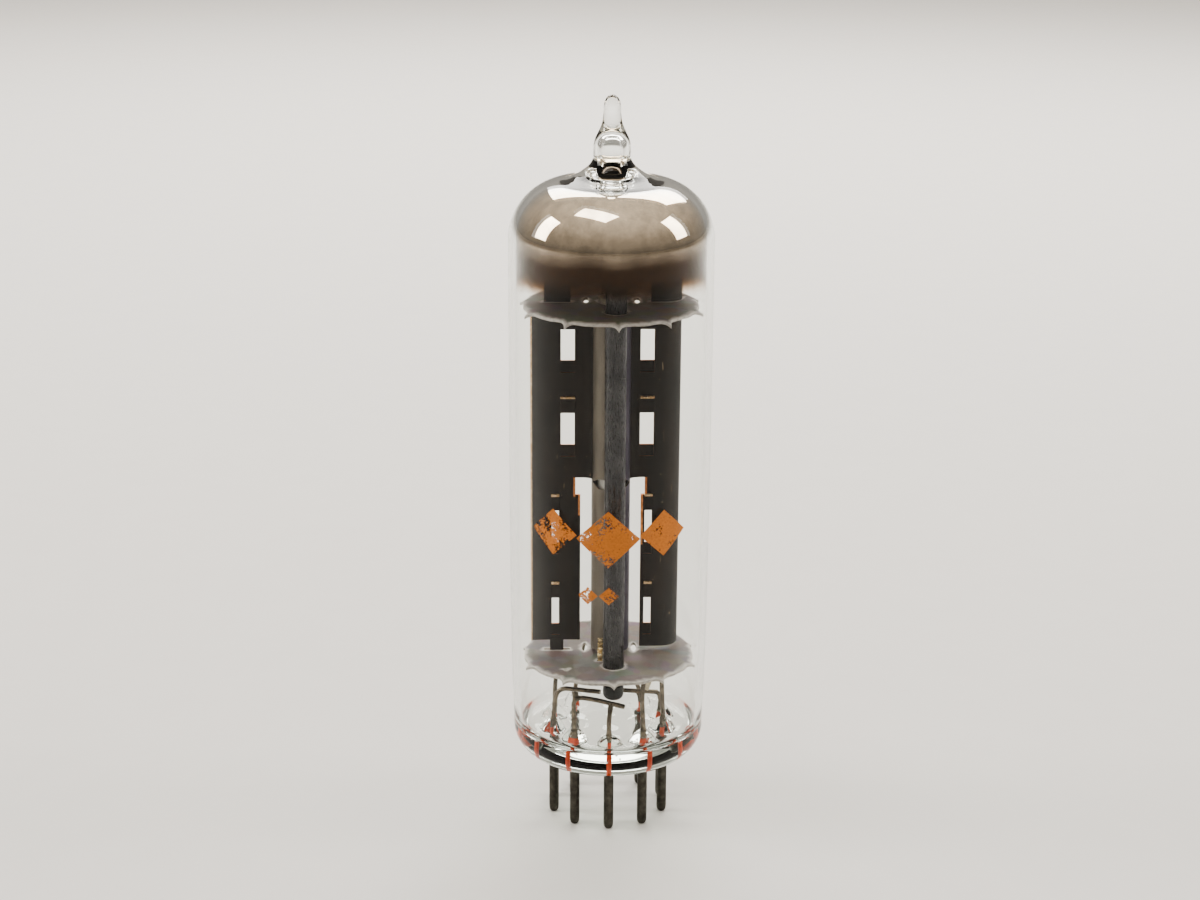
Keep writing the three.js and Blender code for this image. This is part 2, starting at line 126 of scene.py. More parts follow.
class TubeFilmSettings(bpy.types.PropertyGroup):
    """Extent and colours of the mirror film in the dome."""

    fade_foot: FloatProperty(
        name="Fade foot", description="Height at which the film is gone", default=0.0562,
        unit="LENGTH",
    )
    fade_top: FloatProperty(
        name="Fade top", description="Height above which the film is a full mirror",
        default=0.0603, unit="LENGTH",
    )
    silver: FloatVectorProperty(
        name="Silver", description="Colour of the film where it is thick", subtype="COLOR",
        size=3, min=0, max=1, default=(0.95, 0.79, 0.63),
    )
    brown: FloatVectorProperty(
        name="Brown", description="Colour of the film where it thins out", subtype="COLOR",
        size=3, min=0, max=1, default=(0.045, 0.024, 0.013),
    )


class TubeCageSettings(bpy.types.PropertyGroup):
    """Sizes and colours of the electrodes and spacers."""

    bare_band: FloatProperty(
        name="Bare band", description="Width of the bare metal beside a cut edge",
        default=0.00022, unit="LENGTH",
    )
    carbon: FloatVectorProperty(
        name="Carbon", description="Colour of the blackened plate", subtype="COLOR", size=3,
        min=0, max=1, default=(0.010, 0.008, 0.007),
    )
    copper: FloatVectorProperty(
        name="Bare edge", description="Colour of the plate's cut edges", subtype="COLOR",
        size=3, min=0, max=1, default=(0.72, 0.30, 0.12),
    )
    mica: FloatVectorProperty(
        name="Mica", description="Colour of the mica spacers", subtype="COLOR", size=3,
        min=0, max=1, default=(0.070, 0.056, 0.053),
    )


class TubeMarkSettings(bpy.types.PropertyGroup):
    """The worn printed mark on the bulb."""

    height: FloatProperty(
        name="Height", description="Height of the middle of the mark", default=0.0331,
        unit="LENGTH",
    )
    ink: FloatVectorProperty(
        name="Ink", description="Colour of the print", subtype="COLOR", size=3, min=0, max=1,
        default=(0.52, 0.165, 0.024),
    )


class TubeStageSettings(bpy.types.PropertyGroup):
    """Floor, lights and camera."""

    floor: FloatVectorProperty(
        name="Floor", description="Colour of the floor", subtype="COLOR", size=3, min=0,
        max=1, default=(0.74, 0.725, 0.70),
    )
    power: FloatProperty(
        name="Lamp power", description="Strength of the lamps against their design", default=1.0,
        min=0,
    )


# ---------------------------------------------------------------- surfaces
def grid_faces(rows, columns, wrap=False):
    """Quads of a rows by columns grid of points, facing along (row direction) x (column
    direction). With wrap, the last row joins the first."""
    i = np.arange(rows if wrap else rows - 1)[:, None]
    j = np.arange(columns - 1)[None, :]
    ahead = (i + 1) % rows
    return np.stack(
        [i * columns + j, ahead * columns + j, ahead * columns + j + 1, i * columns + j + 1], -1
    ).reshape(-1, 4)


def turned(profile, sides, centre=(0, 0)):
    """A profile of (radius, height) points turned about an upright line: the point at angle a
    is (r cos a, r sin a, z). A profile that climbs on the outside faces outwards."""
    angle = np.arange(sides)[:, None] * TURN / sides
    r, z = np.asarray(profile, float).T
    points = np.stack(
        [centre[0] + r * np.cos(angle), centre[1] + r * np.sin(angle), z + 0 * angle], -1
    )
    return points.reshape(-1, 3), grid_faces(sides, len(r), wrap=True)


def curve_through(points, steps):
    """The smooth curve through given points: on each span, the cubic whose slope at a point
    is half the step between its neighbours."""
    p = np.asarray(points, float)
    p = np.vstack([2 * p[0] - p[1], p, 2 * p[-1] - p[-2]])
    t = np.linspace(0, 1, steps, endpoint=False)[None, :, None]
    a, b, c, d = (p[k : len(p) - 3 + k, None, :] for k in range(4))
    spans = 0.5 * (
        2 * b + (c - a) * t + (2 * a - 5 * b + 4 * c - d) * t**2 + (3 * b - a - 3 * c + d) * t**3
    )
    return np.vstack([spans.reshape(-1, p.shape[1]), p[-2]])


def arc(cx, cy, radius, start, end, steps):
    """Points on a circle's arc, from one angle to another."""
    a = np.linspace(start, end, steps)
    return np.stack([cx + radius * np.cos(a), cy + radius * np.sin(a)], -1)


def rounded_path(corners, bend, steps=7):
    """A line through corners, each inner corner replaced by the parabola that leaves and
    meets the straight parts at the bend's distance from it."""
    c = np.asarray(corners, float)
    path = [c[:1]]
    t = np.linspace(0, 1, steps)[:, None]
    for before, corner, after in zip(c[:-2], c[1:-1], c[2:]):
        back, ahead = before - corner, after - corner
        long = np.linalg.norm(back), np.linalg.norm(ahead)
        reach = min(bend, 0.48 * long[0], 0.48 * long[1])
        start, end = corner + back / long[0] * reach, corner + ahead / long[1] * reach
        path.append((1 - t) ** 2 * start + 2 * t * (1 - t) * corner + t**2 * end)
    return np.vstack([*path, c[-1:]])


def along(path, across, thick, sides=16, corner=2.0, facing=None):
    """A section carried along a path: at each point of the path, the superellipse with the
    given half-width and half-thickness, in the plane square to the path. A corner power of 2
    is an ellipse and a higher one a rounded rectangle. The half-width lies along `facing`, or
    else square to the plane that fits the path best. Both ends are closed by a flat cap."""
    path = np.asarray(path, float)
    path = np.vstack([path[:1], path, path[-1:]])
    n = len(path)
    step = np.gradient(path[1:-1], axis=0)
    step = np.vstack([step[:1], step, step[-1:]])
    tangent = step / np.linalg.norm(step, axis=1, keepdims=True)
    side = np.linalg.svd(tangent)[2][-1] if facing is None else np.asarray(facing, float)
    side = side - (tangent @ side)[:, None] * tangent
    side /= np.linalg.norm(side, axis=1, keepdims=True)
    front = np.cross(tangent, side)
    open_ = np.ones(n)
    open_[[0, -1]] = 0
    width, depth = np.broadcast_to(across, n - 2), np.broadcast_to(thick, n - 2)
    width = np.concatenate([width[:1], width, width[-1:]]) * open_
    depth = np.concatenate([depth[:1], depth, depth[-1:]]) * open_
    a = np.arange(sides)[:, None, None] * TURN / sides
    ca = np.sign(np.cos(a)) * np.abs(np.cos(a)) ** (2 / corner)
    sa = np.sign(np.sin(a)) * np.abs(np.sin(a)) ** (2 / corner)
    points = path + ca * width[:, None] * side + sa * depth[:, None] * front
    return points.reshape(-1, 3), grid_faces(sides, n, wrap=True)


def pierced(front, back, filled, wrap=False):
    """A sheet between two grids of points, front and back, with metal only in the filled
    cells: both faces of each filled cell, and a wall wherever it meets an empty cell or the
    sheet's border. Rows run across and columns run up, so the front faces -Y. Also returns
    which faces are walls."""
    rows, columns = front.shape[:2]
    count = rows * columns
    index = np.arange(count).reshape(rows, columns)
    padded = np.pad(filled, 1)
    if wrap:
        padded[0, 1:-1], padded[-1, 1:-1] = filled[-1], filled[0]

    def cells(mask, corners):
        i, j = np.nonzero(mask)
        return np.stack([index[i + di, j + dj] + count * behind for di, dj, behind in corners], -1)

    f, b = 0, 1
    empty = ~padded
    faces = [
        cells(filled, [(0, 0, f), (1, 0, f), (1, 1, f), (0, 1, f)]),
        cells(filled, [(0, 0, b), (0, 1, b), (1, 1, b), (1, 0, b)]),
        cells(filled & empty[:-2, 1:-1], [(0, 0, f), (0, 1, f), (0, 1, b), (0, 0, b)]),
        cells(filled & empty[2:, 1:-1], [(1, 0, f), (1, 0, b), (1, 1, b), (1, 1, f)]),
        cells(filled & empty[1:-1, :-2], [(0, 0, f), (0, 0, b), (1, 0, b), (1, 0, f)]),
        cells(filled & empty[1:-1, 2:], [(0, 1, f), (1, 1, f), (1, 1, b), (0, 1, b)]),
    ]
    walls = np.concatenate([np.full(len(part), k > 1) for k, part in enumerate(faces)])
    points = np.vstack([front.reshape(-1, 3), back.reshape(-1, 3)])
    return points, np.vstack(faces), walls


def spaced(stops, step):
    """The stops in order, with more values between them so that none is further than a step
    from the next."""
    stops = np.unique(np.array(sorted(stops), float))
    parts = [
        np.linspace(a, b, max(int(math.ceil((b - a) / step)), 1), endpoint=False)
        for a, b in zip(stops[:-1], stops[1:])
    ]
    return np.concatenate([*parts, stops[-1:]])


def inside(points, outline):
    """Which points lie inside a closed outline, by counting the edges crossed to the right."""
    x, y = points[:, :1], points[:, 1:]
    a, b = outline, np.roll(outline, -1, axis=0)
    spans = (a[:, 1] > y) != (b[:, 1] > y)
    rise = np.where(b[:, 1] == a[:, 1], 1, b[:, 1] - a[:, 1])
    crossing = a[:, 0] + (y - a[:, 1]) * (b[:, 0] - a[:, 0]) / rise
    return (spans & (x < crossing)).sum(1) % 2 == 1


def in_cage(points):
    """Points of the cage's own frame, turned and moved to the tube's frame."""
    c, s = math.cos(CAGE_TURN), math.sin(CAGE_TURN)
    x, y, z = np.moveaxis(np.asarray(points, float), -1, 0)
    return np.stack([CAGE[0] + c * x - s * y, CAGE[1] + s * x + c * y, z], -1)


def joined(*parts):
    """Several surfaces as one: their points one after another, and their faces moved on."""
    points, faces, base = [], [], 0
    for p, f in parts:
        points.append(p)
        faces.append(f + base)
        base += len(p)
    return np.vstack(points), np.vstack(faces)


# ---------------------------------------------------------------- making a piece
def make_piece(name, surface, looks, face_looks=None, nodes=(), sharp=40, rim=None):
    """Puts a surface in millimetres into a mesh at the origin, gives it its materials, and hides
    the
    CAD nodes it stands for. A face whose fourth corner repeats its third is a triangle, and
    the triangles come first. Seams and poles are merged, unless the points have rim values."""
    old = bpy.data.objects.get(name)
    if old is not None:
        bpy.data.objects.remove(old)
    points, faces = surface
    used, faces = np.unique(faces, return_inverse=True)
    faces = faces.reshape(surface[1].shape)
    mesh = bpy.data.meshes.new(name)
    three = faces[:, 2] == faces[:, 3]
    corners = faces[three][:, :3].tolist() + faces[~three].tolist()
    mesh.from_pydata((points[used] * MM).tolist(), [], corners)
    for look in looks:
        mesh.materials.append(look)
    if face_looks is not None:
        mesh.polygons.foreach_set("material_index", np.asarray(face_looks, np.int32))
    if rim is None:
        work = bmesh.new()
        work.from_mesh(mesh)
        bmesh.ops.remove_doubles(work, verts=work.verts, dist=1e-7)
        work.to_mesh(mesh)
        work.free()
    else:
        mesh.attributes.new("rim", "FLOAT", "POINT").data.foreach_set("value", rim[used])
    mesh.polygons.foreach_set("use_smooth", np.ones(len(mesh.polygons), bool))
    mesh.set_sharp_from_angle(angle=math.radians(sharp))
    mesh.update()
    if not len(mesh.polygons):
        raise RuntimeError(f"{name} has no faces")
    piece = bpy.data.objects.new(name, mesh)
    bpy.context.scene.collection.objects.link(piece)
    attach(piece, "root")
    if nodes:
        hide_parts(*nodes)
    return piece


# ---------------------------------------------------------------- materials
def fresh_material(name):
    """An empty node material of this name, in place of any older one."""
    look = bpy.data.materials.get(name) or bpy.data.materials.new(name)
    look.use_nodes = True
    look.node_tree.nodes.clear()
    return look, look.node_tree


def put(tree, kind, inputs=None, **settings):
    """A shader node with its settings, and its inputs given as values or as other outputs."""
    made = tree.nodes.new("ShaderNode" + kind)
    for key, value in settings.items():
        setattr(made, key, value)
    for key, value in (inputs or {}).items():
        if isinstance(value, bpy.types.NodeSocket):
            tree.links.new(value, made.inputs[key])
        else:
            made.inputs[key].default_value = value
    return made


def place_on_piece(tree, stretch=(1, 1, 1)):
    """Object coordinates, stretched for a grain that runs one way."""
    where = put(tree, "TexCoord").outputs["Object"]
    if stretch == (1, 1, 1):
        return where
    return put(tree, "Mapping", {"Vector": where, "Scale": stretch}).outputs["Vector"]


def noise(tree, size, detail=3.0, rough=0.5, stretch=(1, 1, 1)):
    """Noise whose blotches are about `size` millimetres across."""
    return put(
        tree, "TexNoise",
        {"Vector": place_on_piece(tree, stretch), "Scale": 1 / (size * MM), "Detail": detail,
         "Roughness": rough},
    ).outputs["Fac"]


def ramp(tree, value, stops):
    """Colours blended along a value, as (position, colour) stops."""
    made = put(tree, "ValToRGB", {"Fac": value})
    band = made.color_ramp
    while len(band.elements) < len(stops):
        band.elements.new(1.0)
    for element, (place, colour) in zip(band.elements, stops):
        element.position = place
        element.color = (*colour, 1.0)
    return made.outputs["Color"]


def span(tree, value, low, high, to_low=0.0, to_high=1.0, smooth=False):
    """A value carried from one range to another, and held at its ends."""
    return put(
        tree, "MapRange",
        {"Value": value, "From Min": low, "From Max": high, "To Min": to_low, "To Max": to_high},
        interpolation_type="SMOOTHSTEP" if smooth else "LINEAR",
    ).outputs["Result"]


def math_of(tree, operation, a, b):
    return put(tree, "Math", {0: a, 1: b}, operation=operation).outputs[0]


def mixed(tree, factor, a, b):
    """Two colours mixed by a factor."""
    made = put(tree, "Mix", data_type="RGBA")
    for socket, value in (("Factor_Float", factor), ("A_Color", a), ("B_Color", b)):
        target = next(s for s in made.inputs if s.identifier == socket)
        if isinstance(value, bpy.types.NodeSocket):
            tree.links.new(value, target)
        else:
            target.default_value = (*value, 1.0) if isinstance(value, tuple) else value
    return next(s for s in made.outputs if s.identifier == "Result_Color")


def bump(tree, height, depth, strength=1.0):
    """A bumpy normal, with the bumps' depth in millimetres."""
    return put(
        tree, "Bump", {"Height": height, "Distance": depth * MM, "Strength": strength}
    ).outputs["Normal"]


def finish_surface(tree, shader):
    tree.links.new(shader, put(tree, "OutputMaterial").inputs["Surface"])


def height_on_piece(tree):
    return put(tree, "SeparateXYZ", {0: place_on_piece(tree)}).outputs["Z"]


def clear_glass(settings):
    """Clear soda glass with a faint uneven tint. Shadow rays pass straight through it, so the
    lamps reach what it holds."""
    look, tree = fresh_material("clear_glass")
    tint = tuple(settings.tint)
    weak = tuple(0.975 * c for c in tint)
    body = put(tree, "BsdfPrincipled", {
        "Base Color": mixed(tree, noise(tree, 3.0), tint, weak), "Roughness": 0.0, "IOR": 1.51,
        "Transmission Weight": 1.0, "Specular Tint": (0.3, 0.3, 0.3, 1),
    })
    clear = put(tree, "BsdfTransparent", {"Color": (0.93, 0.95, 0.93, 1)})
    shadow = put(tree, "LightPath").outputs["Is Shadow Ray"]
    mix = put(tree, "MixShader", {0: shadow, 1: body.outputs[0], 2: clear.outputs[0]})
    finish_surface(tree, mix.outputs[0])
    depth = put(tree, "VolumeAbsorption", {"Color": (0.80, 0.86, 0.82, 1), "Density": 65.0})
    tree.links.new(depth.outputs[0], tree.nodes["Material Output"].inputs["Volume"])
    return look


def mirror_film(settings):
    """Evaporated metal: a warm silver mirror that turns brown and lets light through as it
    thins out towards an uneven lower edge."""
    look, tree = fresh_material("mirror_film")
    height = height_on_piece(tree)
    ragged = span(tree, noise(tree, 4.0, 4.0, stretch=(1, 1, 0.5)), 0, 1, -0.0011, 0.0011)
    level = math_of(tree, "ADD", height, ragged)
    cover = span(tree, level, settings.fade_foot, settings.fade_top, smooth=True)
    silver, brown = tuple(settings.silver), tuple(settings.brown)
    dark = tuple(0.35 * c for c in brown)
    tone = span(tree, level, settings.fade_foot, 0.0655)
    cloud = noise(tree, 1.2, 5.0, 0.6)
    between = tuple(0.18 * a + 0.82 * b for a, b in zip(silver, brown))
    light = tuple(0.7 * a + 0.3 * b for a, b in zip(silver, brown))
    colour = ramp(tree, tone, [
        (0.0, dark), (0.40, brown), (0.50, between), (0.64, light), (0.85, silver),
    ])
    shade = mixed(tree, span(tree, cloud, 0.35, 0.65, 0, 0.25), colour, brown)
    metal = put(tree, "BsdfPrincipled", {
        "Base Color": shade, "Metallic": 1.0, "Roughness": 0.035,
    })
    smoke = ramp(tree, cover, [
        (0.0, (1, 1, 1)), (0.35, (0.62, 0.46, 0.33)), (1.0, (0.25, 0.13, 0.06)),
    ])
    veil = put(tree, "BsdfTransparent", {"Color": smoke})
    solid = span(tree, cover, 0.1, 0.75)
    mix = put(tree, "MixShader", {0: solid, 1: veil.outputs[0], 2: metal.outputs[0]})
    finish_surface(tree, mix.outputs[0])
    return look


def worn_metal(name, bright, dull, size=0.6, roughness=(0.25, 0.45), grain=(1, 1, 1),
               depth=0.004, metallic=1.0):
    """Metal with blotches between a bright and a dull colour, a fine grain and an uneven
    gloss."""
    look, tree = fresh_material(name)
    blotch = span(tree, noise(tree, size, 4.0, 0.6), 0.35, 0.65)
    fine = noise(tree, 0.12, 3.0, 0.6, grain)
    body = put(tree, "BsdfPrincipled", {
        "Base Color": mixed(tree, blotch, bright, dull), "Metallic": metallic,
        "Roughness": span(tree, fine, 0.3, 0.7, *roughness),
        "Normal": bump(tree, fine, depth),
    })
    finish_surface(tree, body.outputs[0])
    return look


def carbonised_sheet(settings):
    """Blackened nickel sheet: matt black with a brown cast, faint upright rolling marks, a
    fine soot grain, and a few specks and scratches of bare metal."""
    look, tree = fresh_material("carbonised_sheet")
    black = tuple(settings.carbon)
    brown = (2.4 * black[0], 1.9 * black[1], 1.6 * black[2])
    cast = span(tree, noise(tree, 2.5, 3.0, stretch=(1, 1, 0.25)), 0.35, 0.65)
    base = mixed(tree, cast, black, brown)
    speck = span(tree, noise(tree, 0.16, 1.0, 0.3), 0.77, 0.80)
    bare = span(tree, noise(tree, 0.3, 2.0, stretch=(1, 1, 0.12)), 0.73, 0.78, 0, 0.5)
    worn = math_of(tree, "MAXIMUM", speck, bare)
    grain = noise(tree, 0.05, 3.0, 0.7)
    body = put(tree, "BsdfPrincipled", {
        "Base Color": mixed(tree, worn, base, (0.42, 0.30, 0.20)),
        "Metallic": math_of(tree, "MULTIPLY", worn, 0.9),
        "Roughness": span(tree, grain, 0.3, 0.7, 0.5, 0.72),
        "Normal": bump(tree, grain, 0.006), "Specular IOR Level": 0.2,
    })
    finish_surface(tree, body.outputs[0])
    return look


def column_metal():
    """Grey coated sheet with a fine grain and painted light: a lighter tan left side as a painted
    highlight and a darker purplish right side as painted shade.
    """
    look, tree = fresh_material("column_metal")
    across = put(tree, "SeparateXYZ", {0: place_on_piece(tree)}).outputs["X"]
    # painted light: lighter tan on the left as a painted highlight, darker purplish on the right as
    # painted shade
    side = span(tree, across, CAGE[0] * MM - 0.0012, CAGE[0] * MM + 0.0018, smooth=True)
    blotch = span(tree, noise(tree, 1.5, 4.0, stretch=(1, 1, 0.3)), 0.3, 0.7)
    left = mixed(tree, blotch, (0.21, 0.18, 0.145), (0.14, 0.12, 0.10))
    right = mixed(tree, blotch, (0.075, 0.062, 0.092), (0.045, 0.038, 0.06))
    grain = noise(tree, 0.07, 3.0, 0.6)
    body = put(tree, "BsdfPrincipled", {
        "Base Color": mixed(tree, side, left, right), "Metallic": 0.5,
        "Roughness": span(tree, grain, 0.3, 0.7, 0.38, 0.55), "Normal": bump(tree, grain, 0.005),
    })
    finish_surface(tree, body.outputs[0])
    return look


def mica_sheet(settings):
    """Split mica with a cloudy coating: grey-mauve with fibres and flakes, and a pale frayed
    rim."""
    look, tree = fresh_material("mica_sheet")
    tone = tuple(settings.mica)
    warm = (1.45 * tone[0], 1.36 * tone[1], 1.28 * tone[2])
    cloud = span(tree, noise(tree, 1.8, 5.0, 0.6), 0.3, 0.7)
    fibre = span(tree, noise(tree, 0.5, 4.0, 0.6, stretch=(1, 0.25, 1)), 0.3, 0.7)
    flake = put(
        tree, "TexVoronoi", {"Vector": place_on_piece(tree), "Scale": 700.0, "Randomness": 1.0}
    ).outputs["Color"]
    base = mixed(tree, cloud, tone, warm)
    base = mixed(tree, math_of(tree, "MULTIPLY", fibre, 0.45), base, (0.19, 0.16, 0.152))
    base = mixed(tree, 0.035, base, flake)
    rim = put(tree, "Attribute", attribute_name="rim").outputs["Fac"]
    torn = span(tree, noise(tree, 0.35, 4.0, 0.6), 0.25, 0.55, 0.45, 1)
    fray = math_of(tree, "MULTIPLY", rim, torn)
    body = put(tree, "BsdfPrincipled", {
        "Base Color": mixed(tree, fray, base, (0.56, 0.51, 0.48)),
        "Roughness": span(tree, fibre, 0, 1, 0.42, 0.62), "Specular IOR Level": 0.22,
        "Normal": bump(tree, noise(tree, 0.25, 5.0, 0.65), 0.035),
    })
    finish_surface(tree, body.outputs[0])
    return look


def rough_coating(name, pale, grey, size, roughness=0.9):
    """A powdery sprayed coating."""
    look, tree = fresh_material(name)
    grain = noise(tree, size, 4.0, 0.7)
    body = put(tree, "BsdfPrincipled", {
        "Base Color": mixed(tree, span(tree, grain, 0.3, 0.7), pale, grey),
        "Roughness": roughness, "Normal": bump(tree, grain, 0.02),
    })
    finish_surface(tree, body.outputs[0])
    return look


def seal_oxide():
    """The orange-red oxide on the wire that passes through the glass."""
    look, tree = fresh_material("seal_oxide")
    patch = span(tree, noise(tree, 0.5, 3.0), 0.3, 0.7)
    body = put(tree, "BsdfPrincipled", {
        "Base Color": mixed(tree, patch, (0.72, 0.085, 0.012), (0.50, 0.04, 0.008)),
        "Roughness": 0.4,
    })
    finish_surface(tree, body.outputs[0])
    return look


def worn_ink(settings):
    """Orange print, mottled, with pinholes and rubbed places where nothing is left."""
    look, tree = fresh_material("worn_ink")
    ink = tuple(settings.ink)
    pale = (min(1.0, 1.25 * ink[0]), 1.35 * ink[1], 1.5 * ink[2])
    fine = noise(tree, 0.22, 4.0, 0.65)
    rub = noise(tree, 1.6, 3.0, 0.55)
    across = put(tree, "SeparateXYZ", {0: place_on_piece(tree)}).outputs["X"]
    wear = span(tree, across, -0.0085, 0.004, 0.075, -0.03)
    both = math_of(tree, "MULTIPLY", math_of(tree, "ADD", fine, rub), 0.5)
    left = math_of(tree, "SUBTRACT", both, wear)
    keep = span(tree, left, 0.415, 0.455)
    body = put(tree, "BsdfPrincipled", {
        "Base Color": mixed(tree, span(tree, fine, 0.35, 0.65), ink, pale),
        "Roughness": 0.55, "Alpha": math_of(tree, "MULTIPLY", keep, 0.93),
    })
    finish_surface(tree, body.outputs[0])
    return look


def pale_floor(settings):
    """Plain pale board with a faint tooth."""
    look, tree = fresh_material("pale_floor")
    tone = tuple(settings.floor)
    body = put(tree, "BsdfPrincipled", {
        "Base Color": mixed(tree, noise(tree, 6.0, 5.0), tone, tuple(0.96 * c for c in tone)),
        "Roughness": 0.7, "Normal": bump(tree, noise(tree, 0.8, 3.0), 0.01),
    })
    finish_surface(tree, body.outputs[0])
    return look


# ---------------------------------------------------------------- glass
def glass_radius(z):
    """The bulb's outer radius: the base's radius, swelling to the bulb's as 1 - e^(-rise)."""
    swell = 1 - np.exp(-np.maximum(z - SEAL_Z, 0) / BULB_SWELL)
    return BASE_R + (BULB_R - BASE_R) * swell


def outer_profile():
    """Out along the base's underside, round its corner, up the side, over the shoulder and up
    the drawn exhaust tip to its end."""
    corner = arc(BASE_R - BASE_CORNER, BASE_Z + BASE_CORNER, BASE_CORNER, -math.pi / 2, 0, 20)
    r = np.linspace(0, BASE_R - BASE_CORNER, 8, endpoint=False)
    foot = np.stack([r, np.full(8, BASE_Z)], -1)
    z = np.concatenate([
        np.linspace(SEAL_Z, 24, 16), np.linspace(26, SHOULDER_Z, 16, endpoint=False),
    ])
    side = np.stack([glass_radius(z), z], -1)
    seam = 0.035 * np.exp(-(((side[:, 1] - SEAL_Z - 0.5) / 0.5) ** 2))
    side[:, 0] -= seam
    shoulder = arc(BULB_R - SHOULDER_R, SHOULDER_Z, SHOULDER_R, 0, math.radians(82), 26)
    tip = curve_through([
        shoulder[-1], (3.8, 67.25), (2.95, 67.75), (2.2, 68.4), (1.84, 69.1), (1.86, 69.9),
        (1.72, 70.8), (1.36, 71.6), (1.02, 72.4), (0.86, 73.4), (0.84, 74.1), (0.62, TIP_Z - 0.35),
        (0.28, TIP_Z - 0.06), (0, TIP_Z),
    ], 5)[1:]
    return np.vstack([foot, corner, side, shoulder, tip])


def dome_profile(wall):
    """The inside of the dome: down from the hollow in the tip, past the ring where the exhaust
    tube was joined on, and round the shoulder."""
    tip = curve_through([
        (0, 71.2), (0.55, 71.05), (1, 70.5), (1.1, 69.7), (0.98, 68.8), (1.05, 67.7),
        (1.2, 66.75), (1.42, 66.25), (1.7, 66.28), (1.95, 66.55), (2.5, 66.45), (3.4, 66.24),
    ], 5)
    shoulder = arc(
        BULB_R - SHOULDER_R, SHOULDER_Z, SHOULDER_R - wall, math.radians(82), 0, 26
    )
    return tip, shoulder


def inner_profile(wall):
    """The inside of the dome, then down the wall and round the fillet to the glass floor."""
    tip, shoulder = dome_profile(wall)
    z = np.concatenate([np.linspace(58, 26, 12), np.linspace(24, SEAL_Z, 14)])
    side = np.stack([glass_radius(z) - wall, z], -1)
    inner = glass_radius(SEAL_Z) - wall
    fillet = SEAL_Z - STEM_TOP
    round_ = arc(inner - fillet, SEAL_Z, fillet, 0, -math.pi / 2, 9)[1:]
    r = np.concatenate([np.arange(round_[-1, 0] - 0.12, 4.2, -0.12), np.linspace(4.1, 0, 12)])
    floor = np.stack([r, np.full(len(r), STEM_TOP)], -1)
    return np.vstack([tip, shoulder, side, round_, floor])


def bead_rise(x, y, height):
    """Height of the glass over its floor: at each lead a drop whose height is
    (1 - (r / R)^2)^0.7 of the bead's, lumpy round about, and a slight wave over the floor."""
    rise = 0.04 * np.sin(0.9 * x + 1.3) * np.cos(1.1 * y)
    for k, (px, py) in enumerate(PIN_PLACES):
        dx, dy = x - px, y - py
        around = np.arctan2(dy, dx)
        lump = 1 + 0.10 * np.cos(3 * around + 1.7 * k) + 0.06 * np.cos(5 * around + 2.9 * k)
        away = np.hypot(dx, dy) / lump
        drop = np.clip(1 - (away / 1.25) ** 2, 0, 1) ** 0.7
        rise = rise + height * (0.9 + 0.12 * math.cos(2.3 * k)) * drop
    return rise


def bubbles(count=7, seed=5):
    """Small bubbles trapped in the glass round each lead: spheres turned inside out, so that
    they face into the bubble."""
    rng = np.random.default_rng(seed)
    around = rng.uniform(0, TURN, (len(PIN_PLACES), count))
    away = rng.uniform(0.45, 1.0, around.shape)
    up = rng.uniform(STEM_TOP - 1.0, STEM_TOP + 0.25, around.shape)
    size = rng.uniform(0.05, 0.12, around.shape)
    centre = np.stack([
        PIN_PLACES[:, :1] + away * np.cos(around), PIN_PLACES[:, 1:] + away * np.sin(around), up,
    ], -1).reshape(-1, 3)
    lat = np.linspace(math.pi / 2, -math.pi / 2, 7)
    ball, faces = turned(np.stack([np.cos(lat), np.sin(lat)], -1), 10)
    points = centre[:, None, :] + size.reshape(-1, 1, 1) * ball[None]
    faces = faces[None] + (np.arange(len(centre)) * len(ball))[:, None, None]
    return points.reshape(-1, 3), faces.reshape(-1, 4)


class TUBE_OT_make_glass(bpy.types.Operator):
    """Make the sealed glass body: bulb, drawn tip, base and the beads round the leads"""

    bl_idname = "vacuum_tube.make_glass"
    bl_label = "Glass body"

    def execute(self, context):
        settings = context.scene.tube_glass
        wall = settings.wall / MM
        outer = turned(outer_profile(), 160)
        points, faces = turned(inner_profile(wall), 300)
        floor = points[:, 2] < STEM_TOP + 0.01
        points[floor, 2] += bead_rise(points[floor, 0], points[floor, 1], settings.bead_height / MM)
        make_piece(
            "glass_body", joined(outer, (points, faces), bubbles()), [clear_glass(settings)],
            nodes=("glass_envelope", "glass_stem"), sharp=180,
        )
        return {"FINISHED"}


class TUBE_OT_make_film(bpy.types.Operator):
    """Make the mirror film that lines the dome"""

    bl_idname = "vacuum_tube.make_film"
    bl_label = "Mirror film"

    def execute(self, context):
        wall = context.scene.tube_glass.wall / MM
        tip, shoulder = dome_profile(wall)
        z = np.linspace(60.3, 55.3, 24)
        side = np.stack([glass_radius(z) - wall, z], -1)
        line = np.vstack([tip[(tip[:, 0] > 1.12) & (tip[:, 1] < 67.1)], shoulder, side])
        slope = np.gradient(line, axis=0)
        slope /= np.linalg.norm(slope, axis=1, keepdims=True)
        inward = np.stack([slope[:, 1], -slope[:, 0]], -1)
        outer, inner = line + 0.010 * inward, line + 0.022 * inward
        loop = np.vstack([outer[::-1], inner, outer[-1:]])
        make_piece(
            "mirror_film", turned(loop, 200), [mirror_film(context.scene.tube_film)],
            sharp=60,
        )
        return {"FINISHED"}


# ---------------------------------------------------------------- printed mark
def lozenge(x, z, half_width, half_height):
    """A lozenge of print on the bulb: |u| + |v| < 1, where u runs round the glass and v up it."""
    u = np.sin(np.linspace(-math.pi / 2, math.pi / 2, 41))
    v = np.linspace(-1, 1, 13)
    reach = 1 - np.abs(u)
    high = z + half_height * reach[:, None] * v
    turn = (x + half_width * u)[:, None] / BULB_R + 0 * v

    def lifted(lift):
        r = glass_radius(high) + lift
        return np.stack([r * np.sin(turn), -r * np.cos(turn), high], -1)

    points, faces, _ = pierced(lifted(0.020), lifted(0.008), np.ones((40, 12), bool))
    return points, faces


